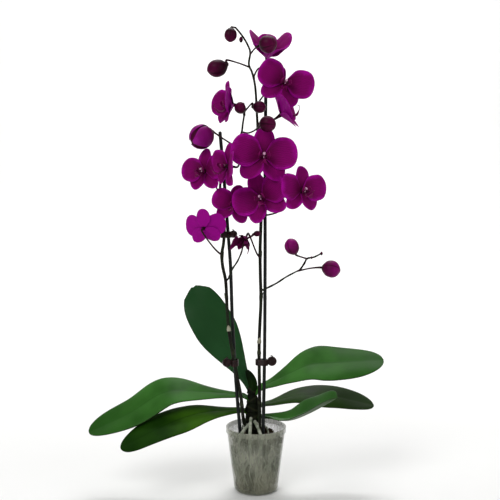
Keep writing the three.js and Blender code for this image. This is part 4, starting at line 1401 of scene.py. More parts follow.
        def middle(u: float, v: float) -> np.ndarray:
            half = 8.5 * math.sqrt(max(1.0 - max(u - 0.35, 0.0) ** 2 / 0.43, 0.02))
            keel = 0.55 * half * (1.0 - math.sqrt(v * v + 0.02))
            tilt = point(1.0, 0.25, 0.25)
            return route.at(u) + tilt * (v * half * 0.8) + point(0, -1, 0) * (keel - 0.2 * half)

        skin = Skin()
        skin.blade(middle, lambda u, v: 2.6 * (1.2 - u) * rounded(v, 0.3), rows=30, columns=14)
        # the folded new leaf takes painted shade, the dark of the crown's hollow
        skin.piece("new_leaf_folded", [SHADED_NEW_LEAF], ["young_leaf"])

    def build(self) -> None:
        """Make the stem and all its leaves."""
        self.build_stem()
        for leaf in self.leaves():
            self.build_leaf(leaf)
        self.build_new_leaf()


class Side(Enum):
    """Which of the two spikes a piece belongs to."""

    LEFT = "left"
    RIGHT = "right"


PLAIN = (0.5, 0.5, 0.0)  # the marks of a skin whose pattern ignores them

# Where each spike keeps one bleached scale, as a share of its bare part.
BARE_SCALE = {Side.LEFT: 0.72, Side.RIGHT: 0.63}


@dataclass
class Framework:
    """The canes, the spikes they hold and the clips between them."""

    SCALE, HEAD, PALE_SCALE = 1, 2, 3  # finish numbers on a spike, after its own skin

    plan: Layout
    clip_height: float = 9.0
    clip_wall: float = 2.2
    clip_gap: float = 0.9
    clip_ribs: int = 4
    grip_width: float = 5.0
    grip_bite: float = 1.2
    stakes: dict[Side, Route] = field(default_factory=dict)
    spikes: dict[Side, Route] = field(default_factory=dict)
    shoots: dict[str, Route] = field(default_factory=dict)

    def __post_init__(self) -> None:
        """Lay out every line, as the frame does."""
        p, bare, among = self.plan, self.plan.on_bare, self.plan.among
        deep = p.pot_height - p.stake_depth
        self.stakes[Side.LEFT] = Route([
            point(-19, -17, deep), bare(-24, -17, 0), bare(-30, -15, 0.37), bare(-35, -9, 0.8),
            among(-0.43, -0.05, 0.47), among(-0.47, 0, 1), among(-0.53, 0.03, 1.82), among(
                -0.60, 0.05, 2.65
            ),
        ])
        self.stakes[Side.RIGHT] = Route([
            point(9, -20, deep), bare(10.5, -20, 0), bare(12.5, -15, 0.58),
            among(0.15, -0.09, 0.47), among(0.15, 0, 1.9), among(0.16, 0.05, 3.42),
        ])
        left_blooms = (
            (-0.51, -0.11, 0.2), (-0.56, -0.1, 0.45), (-0.57, -0.1, 0.65), (-0.545, -0.1, 0.8), (
                -0.53, -0.08, 1.0
            ),
            (-0.54, -0.06, 1.2), (-0.59, -0.04, 1.55), (-0.60, 0.08, 1.8), (-0.54, 0.13, 2.15), (
                -0.40, 0.08, 2.42
            ),
            (-0.25, 0.0, 2.63), (-0.22, -0.02, 2.8), (-0.18, -0.04, 3.05),
        )
        right_blooms = (
            (0.07, -0.16, 0.27), (0.065, -0.15, 0.7), (0.08, -0.15, 1.26), (0.07, -0.1, 1.6), (
                0.05, 0.01, 2.1
            ),
            (0.03, 0.05, 2.6), (0.01, 0.03, 3.0), (-0.02, 0.02, 3.43), (-0.07, 0.01, 3.64), (
                -0.12, 0, 3.76
            ),
            (-0.10, 0, 3.97), (-0.14, 0, 4.08), (-0.21, 0, 4.2), (-0.27, 0, 4.28), (-0.34, 0, 4.36),
        )
        self.spikes[Side.LEFT] = Route([
            point(p.stem_x - p.stem_radius - p.spike_radius + 1, -6, p.pot_height + 2),
            bare(-19.5, -17, 0.1), bare(-22.5, -19.5, 0.25), bare(-27, -21, 0.37), bare(
                -32, -20.5, 0.5
            ),
            bare(-40, -15, 0.73), bare(-42.5, -12, 0.87), *[among(*b) for b in left_blooms],
        ])
        self.spikes[Side.RIGHT] = Route([
            point(p.stem_x + p.stem_radius, -p.stem_radius - 1, p.pot_height + 2),
            bare(5, -14.5, 0.3), bare(4.5, -13, 0.63), bare(7, -11.5, 0.95), *[
                among(*b) for b in right_blooms
            ],
        ])
        left_side = (
            (-0.46, -0.17, 0.24), (-0.40, -0.21, 0.39), (-0.31, -0.24, 0.53), (-0.25, -0.27, 0.66)
        )
        right_side = (
            (0.22, -0.18, 0.10), (0.35, -0.19, 0.17), (0.50, -0.2, 0.27), (0.73, -0.2, 0.39)
        )
        tip = ((0.80, -0.2, 0.50), (0.84, -0.2, 0.57), (0.96, -0.2, 0.60), (1.08, -0.2, 0.66))
        self.shoots["left"] = Route(
            [self.on_spike(Side.LEFT, 0.19), *[among(*b) for b in left_side]]
        )
        self.shoots["right"] = Route(
            [self.on_spike(Side.RIGHT, 0.03), *[among(*b) for b in right_side]]
        )
        self.shoots["tip"] = Route([self.shoots["right"].at(1.0), *[among(*b) for b in tip]])

    def spike_share(self, side: Side, height: float) -> float:
        """Return the share of a spike's length at a height in flower widths."""
        return self.spikes[side].share_at_height(
            self.plan.shoot_height + height * self.plan.flower_width
        )

    def on_spike(self, side: Side, height: float) -> np.ndarray:
        """Return the place on a spike at a height in flower widths."""
        return self.spikes[side].at(self.spike_share(side, height))

    def spike_radius_at(self, share: float) -> float:
        """Return a spike's radius at a share of its length."""
        return self.plan.spike_radius * stops((1.0, 1.0, 0.94, 0.75, 0.55), share)

    def build_canes(self) -> None:
        """Make the two dark canes, with the low ring of a joint here and there."""
        for side, joints in ((Side.LEFT, (0.21, 0.52, 0.81)), (Side.RIGHT, (0.17, 0.46, 0.78))):

            def radius(share: float, turn: float, joints: Sequence[float] = joints) -> float:
                ring = sum(hump(share - j, 0.0035) for j in joints)
                return self.plan.stake_radius * (
                    0.97 + 0.09 * ring + 0.025 * math.cos(3 * TURN * turn)
                )

            skin = Skin()
            skin.tube(self.stakes[side], radius, sides=16, steps=220)
            skin.piece(f"{side.value}_cane", [CANE], [f"{side.value}_stake"])

    def bract(
        self, skin: Skin, route: Route, share: float, angle: float, radius: float, length: float,
        finish: int,
    ) -> None:
        """Add the pointed scale that hugs a stem at a joint.

        Args:
            skin: The skin to add to.
            route: The stem's line.
            share: Where along it.
            angle: Which side it is on, in degrees round the upright.
            radius: The stem's radius there.
            length: The scale's length.
            finish: Its finish number.
        """
        start, heading = route.at(share), route.heading(share)
        level = around(math.radians(angle))
        out = unit(level - heading * float(level @ heading))
        across = np.cross(heading, out)

        def middle(u: float, v: float) -> np.ndarray:
            wide = 1.75 * (1.0 - u**1.6) + 0.06
            hug = radius + 0.35 + 0.9 * u * u
            wrap = out * (hug * math.cos(v * wide)) + across * (hug * math.sin(v * wide))
            return start + heading * (length * u) + wrap

        skin.blade(middle, lambda u, v: 0.5 * (1.15 - u), rows=12, columns=12, finish=finish)

    def build_spikes(self) -> None:
        """Make each spike with its side shoots, its joints and their scales."""
        plans = {
            Side.LEFT: (("left",), (0.075, 0.235, 0.405, 0.53, 0.62), (250, 320, 210, 20, 160)),
            Side.RIGHT: (
                ("right", "tip"), (0.06, 0.185, 0.325, 0.43, 0.52, 0.60), (
                    200, 265, 20, 300, 160, 20
                )
            ),
        }
        small = self.plan.spike_radius
        for side, (shoots, joints, facings) in plans.items():
            route = self.spikes[side]

            def radius(share: float, turn: float, joints: Sequence[float] = joints) -> float:
                knee = sum(hump(share - j, 0.006) for j in joints)
                return self.spike_radius_at(share) * (
                    1.0 + 0.14 * knee + 0.03 * math.cos(2 * TURN * turn + 9 * share)
                )

            skin = Skin()
            skin.tube(route, radius, sides=16, steps=300)
            for name in shoots:
                skin.tube(
                    self.shoots[name],
                    lambda share, turn: small * (0.6 - 0.12 * share) * (
                        1 + 0.1 * math.cos(25 * share)
                    ),
                    sides=12,
                    steps=44,
                )
            for joint, facing in zip(joints, facings):
                self.bract(skin, route, joint, facing, self.spike_radius_at(joint), 8.0, self.SCALE)
            bleached = self.plan.pot_height + BARE_SCALE[side] * self.plan.bare_spike
            joint = route.share_at_height(bleached)
            self.bract(skin, route, joint, 275, self.spike_radius_at(joint), 9.0, self.PALE_SCALE)
            if side is Side.RIGHT:
                self.growing_tip(skin)
            finishes = [SPIKE, BRACT, BUD, PALE_BRACT]
            skin.piece(f"{side.value}_flower_spike", finishes, [f"{side.value}_spike"])

    def growing_tip(self, skin: Skin) -> None:
        """Add the pin-head buds at the ends of the right spike and its shoot."""
        place = self.plan.among
        heads = (
            (place(-0.25, 0, 4.17), 3.0),
            (self.shoots["tip"].at(1.0), 2.0),
            (self.shoots["tip"].at(0.62), 1.5),
        )
        for centre, size in heads:
            line = Route(
                [centre - point(0, 0, 0.9 * size), centre, centre + point(0, 0, 0.7 * size)]
            )
            skin.tube(
                line, lambda share, turn: size * (
                    0.7 + 0.3 * math.sin(math.pi * share)
                ), 12, 10, self.HEAD
            )

    def slot_ring(self, a: np.ndarray, b: np.ndarray, radius: float, z: float) -> list[np.ndarray]:
        """Return the outline round two discs, at a height."""
        turn = math.atan2(b[1] - a[1], b[0] - a[0])
        ring = []
        for disc, start in ((b, turn - 0.5 * math.pi), (a, turn + 0.5 * math.pi)):
            centre = point(disc[0], disc[1], z)
            ring += [centre + around(start + math.pi * k / 18, radius) for k in range(19)]
        return ring

    def build_clips(self) -> None:
        """Make the three clips: a ribbed band with a round grip and a small claw."""
        plan = self.plan
        clips = (
            ("clip_lower_left", Side.LEFT, plan.shoot_height - 103, 205.0, 6.5),
            ("clip_lower_right", Side.RIGHT, plan.shoot_height - 103, 10.0, 7.0),
            ("clip_upper_left", Side.LEFT, float(plan.among(0, 0, 0.96)[2]), 340.0, 5.5),
        )
        for name, side, z, grip, size in clips:
            a = self.stakes[side].at(self.stakes[side].share_at_height(z))
            b = self.spikes[side].at(self.spikes[side].share_at_height(z))
            inner = max(plan.stake_radius, plan.spike_radius) + self.clip_gap
            outer = inner + self.clip_wall
            low, high = z - self.clip_height / 2, z + self.clip_height / 2
            rows = [(outer - 0.5, low), (outer - 0.12, low + 0.2)]
            for share in np.linspace(0.0, 1.0, 33):
                dish = 0.175 * (1 + math.cos(TURN * self.clip_ribs * share))
                rows.append((outer - dish, low + 0.5 + (high - low - 1.0) * share))
            rows += [(outer - 0.12, high - 0.2), (outer - 0.5, high), (inner + 0.3, high)]
            rows += [(inner, high - 0.3), (inner, low + 0.3), (inner + 0.3, low)]
            skin = Skin()
            rings = [self.slot_ring(a, b, radius, height) for radius, height in rows]
            skin.loft(rings, [[PLAIN] * len(rings[0])] * len(rings), loop=True)
            out = around(math.radians(grip))
            reach = outer + abs(float((b - a) @ out)) / 2 + size - self.grip_bite
            centre = (a + b) / 2 + out * reach
            centre[2] = z + 1
            self.grip(skin, centre, point(-out[1], out[0], 0), out, size)
            self.claw(skin, centre + out * (0.2 * size), out, size)
            skin.piece(f"{name}_moulded", [CLIP], [name])

    def grip(
        self, skin: Skin, centre: np.ndarray, axis: np.ndarray, out: np.ndarray, size: float
    ) -> None:
        """Add a dished round grip with a milled rim.

        Args:
            skin: The clip's skin.
            centre: Its middle.
            axis: The way its faces look.
            out: The way from the band to its middle.
            size: Its radius.
        """
        half, sides = self.grip_width / 2, 48
        sunk = (
            (0.15, 0.9), (0.5, 0.9), (0.68, 0.5), (0.76, 0.0), (0.9, 0.0), (0.98, 0.35), (1.0, 0.9)
        )
        line = [(share, half - depth) for share, depth in sunk]

        def spot(row: tuple[float, float], turn: float) -> tuple[np.ndarray, Spot]:
            share, w = row
            mill = 0.22 if share > 0.95 and round(turn * sides) % 3 == 0 else 0.0
            spoke = out * math.cos(TURN * turn) + point(0, 0, 1) * math.sin(TURN * turn)
            return centre + axis * w + spoke * (size * share - mill), PLAIN

        skin.turned(line + [(share, -w) for share, w in line[::-1]], sides, spot)

    def claw(self, skin: Skin, start: np.ndarray, out: np.ndarray, size: float) -> None:
        """Add the small claw above the grip that the finger opens."""
        bends = ((0.7 * size, 0.0), (1.1 * size, 1.2), (1.3 * size, 0.5 * size))
        line = Route([start + point(0, 0, rise) - out * back for rise, back in bends])
        skin.tube(line, lambda share, turn: 1.3 * (1.0 - 0.65 * share), sides=10, steps=12)

    def build(self) -> None:
        """Make the canes, the spikes and the clips."""
        self.build_canes()
        self.build_spikes()
        self.build_clips()


# ---------------------------------------------------------------- flowers and buds


@dataclass(frozen=True)
class Foothold:
    """Where a stalk grows: at a height on a spike, or at a share of a side shoot."""

    spike: Optional[Side] = None
    at: float = 0.0
    shoot: str = ""

    def line(self, work: Framework) -> tuple[Route, float]:
        """Return the stem's line and the share of it."""
        if self.spike is not None:
            return work.spikes[self.spike], work.spike_share(self.spike, self.at)
        if self.shoot == "spike_end":
            return work.spikes[Side.RIGHT], 1.0
        return work.shoots[self.shoot], self.at


@dataclass(frozen=True)
class FlowerSet:
    """How one flower is set: its foothold, its place in flower widths and the way it faces."""

    number: int
    hold: Foothold
    via: tuple[Spot, ...]
    centre: Spot
    size: float
    compass: float
    pitch: float
    roll: float
    fold: float = 0.0
    top: tuple[float, float] = (0.0, 4.0)  # the top sepal's angle and lift
    wilted: bool = False


@dataclass
class Tepal:
    """One sepal or petal in a flower one unit wide that faces the front."""

    angle: float
    length: float
    width: float
    outline: Sequence[tuple[float, float]]
    lift: float
    reflex: float
    cup: float
    layer: float
    ripple: float
    phase: float
    twist: float = 0.0
    foot: float = 0.03

    def middle(self, u: float, v: float) -> np.ndarray:
        """Return the middle of the tepal for a share along it and a place across."""
        u = crowd(u)
        turn = math.radians(self.angle)
        out, side = point(math.sin(turn), 0, math.cos(turn)), point(
            math.cos(turn), 0, -math.sin(turn)
        )
        half = 0.5 * self.width * swell(self.outline, u)
        rise, run = math.sin(math.radians(self.lift)), math.cos(math.radians(self.lift))
        ahead = self.length * (rise * u - self.reflex * u * u * u) + self.layer
        wave = math.sin(TURN * (1.35 * u + self.phase) + 2.2 * v)
        ahead += half * v * v * (self.cup + self.ripple * abs(v) * wave)
        ahead -= 0.012 * hump(v, 0.16) * smooth(0.0, 0.2, u) * (1.0 - 0.6 * u)
        ahead += self.twist * v * half * u
        along = self.foot + (self.length - self.foot) * run * u
        return out * along + side * (v * half) - point(0, ahead, 0)


# Half width along a petal and a sepal, as shares of its widest: a narrow claw and a round tip.
PETAL_OUTLINE = (
    (0.0, 0.2), (0.1, 0.46), (0.25, 0.84), (0.4, 0.98), (0.5, 1.0), (0.6, 0.99),
    (0.7, 0.96), (0.8, 0.88), (0.87, 0.775), (0.92, 0.655), (0.96, 0.5), (0.985, 0.34), (1.0, 0.08),
)
SEPAL_OUTLINE = (
    (0.0, 0.34), (0.12, 0.6), (0.3, 0.93), (0.45, 1.0), (0.6, 0.963),
    (0.7, 0.89), (0.8, 0.77), (0.88, 0.62), (0.94, 0.455), (0.975, 0.3), (0.99, 0.19), (1.0, 0.05),
)


@dataclass
class Blossom:
    """One open flower: five tepals, the ovary and stalk behind, and the lip and column in front."""

    STALK_SKIN = 1  # the finish number of the stalk on a flower
    COLUMN_SKIN = 1  # and of the column beside the lip

    work: Framework
    chosen: FlowerSet
    thickness: float = 0.013
    back: float = 0.11
    disc: float = 0.05
    lip_clearance: float = 0.022
    stalk_radius: float = 1.3

    @property
    def node(self) -> str:
        """Return the frame's node for the flower."""
        return f"flower_{self.chosen.number:02d}"

    def matrix(self) -> Matrix:
        """Return the move from the flower's own unit frame to its place, in millimetres."""
        c = self.chosen
        turn = Quaternion((0, 0, 1), math.radians(c.compass))
        turn = turn @ Quaternion((1, 0, 0), math.radians(-c.pitch)) @ Quaternion(
            (0, 1, 0), math.radians(c.roll)
        )
        centre = self.work.plan.among(*c.centre)
        size = c.size * self.work.plan.flower_width
        return Matrix.Translation(Vector(centre)) @ turn.to_matrix().to_4x4() @ Matrix.Diagonal(
            (size, size, size, 1.0)
        )

    def tepals(self, draw: random.Random) -> list[Tepal]:
        """Return the five tepals, each a little different.

        Args:
            draw: The flower's random numbers.

        Returns:
            The tepals.
        """
        fold, (top_angle, top_lift) = self.chosen.fold, self.chosen.top
        made = []
        for angle, lift in ((top_angle, top_lift), (138.0, 8.0), (-138.0, 8.0)):
            reflex = 0.10 + draw.uniform(0.0, 0.05)
            made.append(Tepal(
                angle=angle + draw.uniform(-3, 3), length=0.45, width=0.32, outline=SEPAL_OUTLINE,
                lift=lift + fold, reflex=reflex, cup=0.16 + draw.uniform(-0.05, 0.05), layer=-0.02,
                ripple=0.05, phase=draw.random(), twist=draw.uniform(-0.12, 0.12),
            ))
        for angle in (80.0, -80.0):
            made.append(Tepal(
                angle=angle + draw.uniform(-3, 3), length=0.52, width=0.485, outline=PETAL_OUTLINE,
                lift=15.0 + fold + draw.uniform(-3, 3), reflex=0.09,
                cup=-0.1 + draw.uniform(-0.06, 0.03), layer=0.012,
                ripple=0.07, phase=draw.random(), twist=draw.uniform(-0.12, 0.12),
            ))
        return made

    def build(self) -> None:
        """Make the flower, and its lip if it isn't wilted."""
        c = self.chosen
        draw = random.Random(100 + c.number)
        skin = Skin()
        for tepal in self.tepals(draw):
            if c.wilted:
                tepal.ripple, tepal.cup, tepal.twist = 0.4, 0.6, 0.7 * draw.uniform(-1, 1)
            thick = self.thickness * swell(tepal.outline, 0.5)
            skin.blade(
                tepal.middle, lambda u, v: thick * (1.3 - 0.6 * u) * rounded(
                    v, 0.3
                ), rows=26, columns=18
            )
        neck = Route([point(0, y, 0) for y in (-0.04, 0.0, 0.05, self.back, self.back + 0.03)])
        neck_radii = (0.035, 0.045, 0.034, 0.026, 0.022)
        skin.tube(neck, lambda share, turn: stops(neck_radii, share), 14, 12, self.STALK_SKIN)
        matrix = self.matrix()
        skin.moved(matrix)
        self.stalk(skin, matrix)
        tissue = WILTED_PETAL if c.wilted else PETAL
        skin.piece(f"blossom_{c.number:02d}", [tissue, STALK], [self.node])
        if not c.wilted:
            self.build_lip(matrix, draw)

    def stalk(self, skin: Skin, matrix: Matrix) -> None:
        """Add the stalk from its foothold to the back of the flower.

        Args:
            skin: The flower's skin, in place.
            matrix: The flower's move.
        """
        c, among = self.chosen, self.work.plan.among
        route, start = c.hold.line(self.work)
        end = np.array(matrix @ Vector((0, 0.8 * self.back, 0)))
        behind = np.array(matrix @ Vector((0, self.back + 0.08, 0)))
        line = Route([route.at(start), *[among(*spot) for spot in c.via], behind, end])
        taper = [self.stalk_radius * share for share in (1.15, 0.95, 0.9, 1.0, 1.25)]
        skin.tube(line, lambda share, turn: stops(taper, share), 12, 40, self.STALK_SKIN)
        away = line.at(0.1) - route.at(start)
        facing = math.degrees(math.atan2(away[1], away[0]))
        radius = self.work.plan.spike_radius * 0.6
        self.work.bract(skin, route, max(start - 0.004, 0.0), facing, radius, 5.5, self.STALK_SKIN)

    def build_lip(self, matrix: Matrix, draw: random.Random) -> None:
        """Make the lip with its lobes, arrow-shaped tip and two tails, the callus and the column.

        Args:
            matrix: The flower's move.
            draw: The flower's random numbers.
        """
        base = -self.disc - self.lip_clearance
        skin = Skin()
        droop = draw.uniform(-0.01, 0.015)
        middle_line = Route([
            point(0, base, -0.012), point(0, base - 0.045, -0.075 - droop), point(
                0, base - 0.12, -0.125 - droop
            ),
            point(0, base - 0.2, -0.105 - droop), point(0, base - 0.25, -0.07 - droop),
        ])
        arrow = (
            (0.0, 0.022), (0.25, 0.026), (0.5, 0.055), (0.62, 0.066), (0.8, 0.036), (1.0, 0.008)
        )

        def tongue(u: float, v: float) -> np.ndarray:
            half = swell(arrow, u)
            heading = middle_line.heading(u)
            up = np.cross(point(1, 0, 0), heading)
            return middle_line.at(u) + point(1, 0, 0) * (v * half) + up * (0.5 * half * v * v)

        skin.blade(tongue, lambda u, v: 0.016 * (1.2 - u) * rounded(v, 0.4), rows=20, columns=12)
        for sign in (1.0, -1.0):
            lobe_line = Route([
                point(sign * 0.012, base, -0.02), point(sign * 0.06, base - 0.035, -0.03),
                point(sign * 0.085, base - 0.08, 0.01), point(sign * 0.065, base - 0.11, 0.055),
            ])

            def lobe(u: float, v: float, line: Route = lobe_line, sign: float = sign) -> np.ndarray:
                half = swell(
                    ((0.0, 0.018), (0.4, 0.034), (0.7, 0.046), (0.9, 0.03), (1.0, 0.012)), u
                )
                across = unit(np.cross(line.heading(u), point(sign, 0.2, 0.4)))
                return line.at(u) + across * (v * half) + point(-sign, 0, 0) * (0.5 * half * v * v)

            skin.blade(lobe, lambda u, v: 0.013 * (1.1 - 0.5 * u), rows=14, columns=10)
            tip = middle_line.at(1.0)
            curl = (
                (0.0, 0.0, 0.0), (0.014, -0.02, 0.025), (0.045, -0.006, 0.05), (0.06, 0.03, 0.045)
            )
            tail = Route([tip + point(sign * x, y, z) for x, y, z in curl])
            skin.tube(tail, lambda share, turn: 0.0055 * (1.0 - 0.75 * share), sides=8, steps=18)
        arch = ((-0.02, 0.0), (0.03, 0.02), (0.06, 0.026), (0.082, 0.018))
        column = Route([point(0, base - ahead, z) for ahead, z in arch])
        radii = (0.02, 0.017, 0.019, 0.022, 0.018)
        skin.tube(column, lambda share, turn: stops(radii, share), 16, 16, self.COLUMN_SKIN)
        lump = ((0.012, -0.022), (0.035, -0.028), (0.045, -0.018))
        callus = Route([point(0, base - ahead, z) for ahead, z in lump])
        skin.tube(
            callus, lambda share, turn: 0.011 * (
                1 + 0.25 * math.cos(2 * TURN * turn)
            ), 12, 8, self.COLUMN_SKIN
        )
        skin.moved(matrix)
        number = f"{self.chosen.number:02d}"
        skin.piece(f"lip_and_column_{number}", [LIP, COLUMN], [f"lip_{number}"])


@dataclass(frozen=True)
class BudSet:
    """How one bud is set: its foothold, its middle in flower widths and the way it points."""

    number: int
    hold: Foothold
    via: tuple[Spot, ...]
    centre: Spot
    aim: Spot
    width: float
    length: float
    opening: bool = False
    pink: bool = False


@dataclass
class Bud:
    """One closed bud on its stalk."""

    STALK_SKIN, PARTING_SKIN = 1, 2  # finish numbers on a bud, after its own skin

    work: Framework
    chosen: BudSet
    unit_width: float = 21.0
    outline: Sequence[tuple[float, float]] = (
        (0.0, 0.24), (0.08, 0.5), (0.25, 0.86), (0.5, 1.0), (0.7, 0.93), (0.86, 0.68), (0.96, 0.34),
        (1.0, 0.12),
    )
    rows: int = 34
    sides: int = 48

    def build(self) -> None:
        """Make the bud: three sepals that meet at low seams, and the stalk."""
        c, plan = self.chosen, self.work.plan
        centre = plan.among(*c.centre)
        aim = unit(np.array(c.aim, float))
        length, radius = c.length * self.unit_width, 0.5 * c.width * self.unit_width
        foot = centre - aim * (length / 2)
        turn = np.array(Vector((0, 0, 1)).rotation_difference(Vector(aim)).to_matrix())

        def spot(share: float, place: float) -> tuple[np.ndarray, Spot]:
            groove = hump(math.sin(1.5 * TURN * place), 0.16) * smooth(0.05, 0.4, share)
            swollen = 1.0 - 0.055 * groove - 0.02 * math.cos(3 * TURN * place)
            size = radius * swell(self.outline, share) * swollen
            beak = point(0.05 * radius * share * share, 0, 0)
            place_on = around(TURN * place, size, length * share) + beak
            return foot + turn @ place_on, (share, place, 0.0)

        skin = Skin()
        shares = [0.5 - 0.5 * math.cos(math.pi * k / self.rows) for k in range(self.rows + 1)]
        skin.turned(shares, self.sides, spot)
        if c.opening:
            self.parting(skin, foot, turn, length, radius)
        route, start = c.hold.line(self.work)
        via = [plan.among(*place) for place in c.via]
        line = Route([route.at(start), *via, foot - aim, foot + aim * (0.1 * length)])
        taper = [min(1.3, 0.3 * radius) * share for share in (1.1, 0.9, 0.9, 1.1, 1.5)]
        skin.tube(line, lambda share, turn: stops(taper, share), 12, 36, self.STALK_SKIN)
        finishes = [PINK_BUD if c.pink else BUD, STALK, YOUNG_PETAL]
        skin.piece(f"closed_bud_{c.number:02d}", finishes, [f"bud_{c.number:02d}"])

    def parting(
        self, skin: Skin, foot: np.ndarray, turn: np.ndarray, length: float, radius: float
    ) -> None:
        """Add the three sepals that start to part on a bud about to open.

        Args:
            skin: The bud's skin.
            foot: The bud's foot.
            turn: The turn from upright to the way it points.
            length: The bud's length.
            radius: Its radius.
        """
        for k in range(3):
            facing = TURN * (k + 0.5) / 3

            def sepal(u: float, v: float, facing: float = facing) -> np.ndarray:
                share = 0.06 + 0.95 * u
                flare = 0.05 + 0.1 * smooth(0.75, 1.0, u)
                size = radius * (swell(self.outline, min(share, 0.995)) + flare)
                belly = math.sin(math.pi * min(u * 0.9 + 0.1, 1.0))
                place = facing + v * 0.985 * (0.55 + 0.45 * belly)
                return foot + turn @ around(place, size, length * share)

            skin.blade(
                sepal, lambda u, v: 0.9 * (1.2 - u) * rounded(v, 0.3), 22, 14, self.PARTING_SKIN
            )


def on(side: Side, at: float) -> Foothold:
    """Return a foothold on a spike, at a height in flower widths."""
    return Foothold(spike=side, at=at)


def flower_sets() -> list[FlowerSet]:
    """Return how the twelve flowers are set: their fields stand in the order of FlowerSet."""
    left, right = Side.LEFT, Side.RIGHT
    return [
        FlowerSet(
            1, on(right, 3.56), ((0.04, 0.14, 3.72),), (0.19, 0.16, 3.93), 1.05, 14, 58, 8, 38
        ),
        FlowerSet(
            2, on(right, 3.1), ((0.15, 0.16, 3.3),), (0.46, -0.18, 3.46), 0.96, 8, -6, 20, 0,
            (-60.0, -34.0),
        ),
        FlowerSet(
            3, on(right, 2.68), ((0.17, -0.12, 2.66),), (0.42, -0.14, 2.94), 0.92, 80, 33, 0, 16
        ),
        FlowerSet(
            4, on(left, 2.95), ((-0.24, 0.12, 3.06),), (-0.4, -0.08, 3.1), 0.92, -72, 4, 0, 20
        ),
        FlowerSet(5, on(right, 2.2), ((0.1, -0.2, 2.15),), (0.11, -0.66, 2.24), 1.06, 4, 4, 4),
        FlowerSet(6, on(left, 1.62), ((-0.68, 0.0, 1.78),), (-0.85, -0.07, 2.02), 0.84, -32, 6, -4),
        FlowerSet(7, on(right, 1.27), ((0.38, -0.12, 1.35),), (0.72, -0.56, 1.7), 0.88, 34, 4, 4),
        FlowerSet(
            8, on(right, 1.18), ((0.02, -0.26, 1.3),), (0.09, -0.47, 1.58), 0.96, -16, 2, -24
        ),
        FlowerSet(
            9, on(left, 2.44), ((-0.3, -0.12, 2.3),), (-0.45, -0.64, 2.08), 0.84, -64, 4, 4, 4
        ),
        FlowerSet(
            10, on(left, 0.62), ((-0.68, -0.12, 0.72),), (-0.86, -0.27, 1.08), 0.74, 168, 12, 4, 12
        ),
        FlowerSet(
            11, on(right, 0.58), ((0.01, -0.22, 0.66),), (-0.17, -0.26, 0.93), 0.5, -30, -40, 20,
            40, wilted=True,
        ),
        FlowerSet(
            12, on(left, 1.24), ((-0.46, -0.04, 1.28),), (-0.36, -0.15, 1.46), 0.76, -4, 6, 14
        ),
    ]


def bud_sets() -> list[BudSet]:
    """Return how the ten buds are set: their fields stand in the order of BudSet."""
    left, right = Side.LEFT, Side.RIGHT
    return [
        BudSet(
            1, Foothold(shoot="spike_end"), (), (-0.42, -0.01, 4.24), (-0.1, -0.1, -1), 0.86, 1.0
        ),
        BudSet(
            2, on(right, 3.93), ((0.0, -0.26, 4.0),), (0.18, -0.5, 4.01), (0.6, -1, -0.2), 1.15, 1.3
        ),
        BudSet(
            3, on(right, 3.72), ((-0.3, 0, 3.79), (-0.5, -0.02, 3.83)), (-0.64, -0.03, 3.7),
            (-1, -0.2, -0.35), 1.2, 1.45,
        ),
        BudSet(
            4, on(left, 3.03), ((-0.21, -0.13, 3.12),), (-0.26, -0.26, 3.03), (-0.4, -1, 0.4), 0.78,
            0.9,
        ),
        BudSet(
            5, on(left, 3.0), ((-0.06, -0.14, 3.12),), (0.05, -0.22, 3.05), (1, -0.5, 0), 0.82, 0.95
        ),
        BudSet(
            6, on(left, 2.66), ((-0.11, -0.3, 2.63), (0.04, -0.64, 2.7)), (0.17, -0.86, 2.73),
            (1, -0.6, -0.1), 1.05, 1.15,
        ),
        BudSet(
            7, on(left, 2.45), ((-0.56, 0.0, 2.56), (-0.69, -0.02, 2.65)), (-0.9, -0.06, 2.58),
            (-0.8, -0.5, -0.5), 1.6, 1.75, True,
        ),
        BudSet(
            8, Foothold(shoot="tip", at=0.45), (), (0.59, -0.2, 0.77), (-0.5, -0.2, 1), 1.0, 1.2,
            pink=True,
        ),
        BudSet(
            9, Foothold(shoot="right", at=0.93), ((0.92, -0.24, 0.42),), (1.24, -0.2, 0.4),
            (1, 0, -0.15), 1.2, 1.3, pink=True,
        ),
        BudSet(
            10, Foothold(shoot="left", at=1.0), ((-0.17, -0.46, 0.9), (-0.05, -0.46, 0.98)),
            (0.01, -0.44, 1.0), (1, 0, 0.2), 0.4, 0.5,
        ),
    ]


# ---------------------------------------------------------------- studio


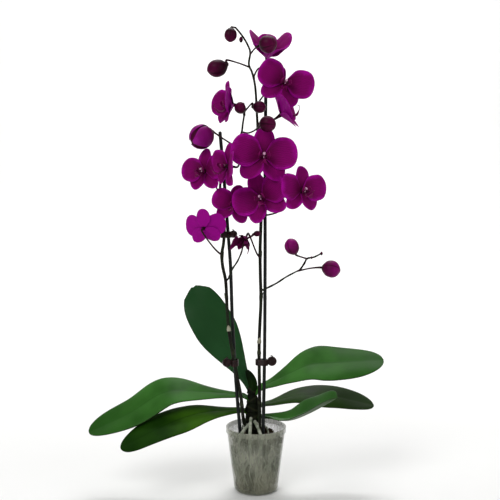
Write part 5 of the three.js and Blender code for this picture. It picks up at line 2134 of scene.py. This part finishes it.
@dataclass
class Studio:
    """A pale floor that sweeps up behind, soft lamps and the camera; sizes in metres."""

    camera_place: tuple[float, float, float] = (-0.009, -1.2, 0.456)
    camera_tilt: float = 4.5  # degrees down
    lens_mm: float = 58.75
    half_width: float = 6.0
    sweep: float = 1.6  # the radius of the bend from floor to backdrop
    sweep_start: float = 2.4
    sky: float = 0.25

    def camera(self) -> None:
        """Place the camera."""
        lens = bpy.data.cameras.new("camera")
        lens.lens, lens.sensor_width = self.lens_mm, 36.0
        made = stand("camera", lens)
        made.location = self.camera_place
        made.rotation_euler = (math.radians(90.0 - self.camera_tilt), 0.0, 0.0)
        bpy.context.scene.camera = made

    def floor(self) -> None:
        """Make the floor and the backdrop it sweeps into."""
        bend, back, top = self.sweep, self.sweep_start, 6.0
        line = [(-self.half_width, 0.0), (back, 0.0)]
        for angle in np.linspace(0.1, 0.5 * math.pi, 14):
            line.append((back + bend * math.sin(angle), bend - bend * math.cos(angle)))
        line.append((back + bend, top))
        rows = [[(x, y, z) for x in (-self.half_width, self.half_width)] for y, z in line]
        mesh = bpy.data.meshes.new("studio_floor")
        points = [p for row in rows for p in row]
        faces = [(2 * k, 2 * k + 1, 2 * k + 3, 2 * k + 2) for k in range(len(rows) - 1)]
        mesh.from_pydata(points, [], faces)
        mesh.polygons.foreach_set("use_smooth", [True] * len(faces))
        mesh.materials.append(PAPER.material())
        made = stand("studio_floor", mesh)

    def lamp(self, name: str, place: Spot, target: Spot, size: float, watts: float) -> None:
        """Add one soft lamp.

        Args:
            name: Its name.
            place: Where it stands.
            target: What it points at.
            size: The side of its square face.
            watts: Its power.
        """
        light = bpy.data.lights.new(name, "AREA")
        light.size, light.energy = size, watts
        made = stand(name, light)
        made.location = place
        made.rotation_euler = (Vector(target) - Vector(place)).to_track_quat("-Z", "Y").to_euler()

    def build(self) -> None:
        """Make the whole studio."""
        self.camera()
        self.floor()
        world = bpy.data.worlds.new("studio_air")
        world.use_nodes = True
        sky = world.node_tree.nodes["Background"]
        sky.inputs[0].default_value = linear("#ffffff")
        sky.inputs[1].default_value = self.sky
        bpy.context.scene.world = world
        bpy.context.scene.view_settings.view_transform = "Standard"
        middle = (0.0, 0.0, 0.35)
        self.lamp("key_lamp", (-0.9, -1.5, 1.7), middle, 1.1, 21.0)
        self.lamp("fill_lamp", (1.5, -1.2, 0.9), middle, 1.2, 7.0)
        self.lamp("top_lamp", (0.2, 0.5, 2.0), middle, 1.2, 11.0)
        self.lamp("backdrop_lamp", (0.0, 1.4, 3.4), (0.0, 4.0, 1.2), 1.6, 130.0)


def main() -> None:
    """Build the studio and the plant, piece by piece."""
    Studio().build()
    pot_low, pot_high = box_mm("pot")
    pot_height, rim_radius = float(pot_high[2]), float(pot_high[0] - pot_low[0]) / 2
    plan = Layout(pot_height, rim_radius, medium_top=pot_height - BARK_BELOW_RIM)
    pot = NurseryPot(plan.pot_height, plan.rim_radius)
    pot.build()
    BarkFill(pot, plan.medium_top).build()
    work = Framework(plan)
    roots = RootSystem(pot, plan, work.stakes[Side.LEFT])
    roots.build_wall_roots()
    roots.build_aerial_roots()
    Crown(plan).build()
    work.build()
    for flower in flower_sets():
        Blossom(work, flower).build()
    for bud in bud_sets():
        Bud(work, bud).build()


if __name__ == "__main__":
    main()
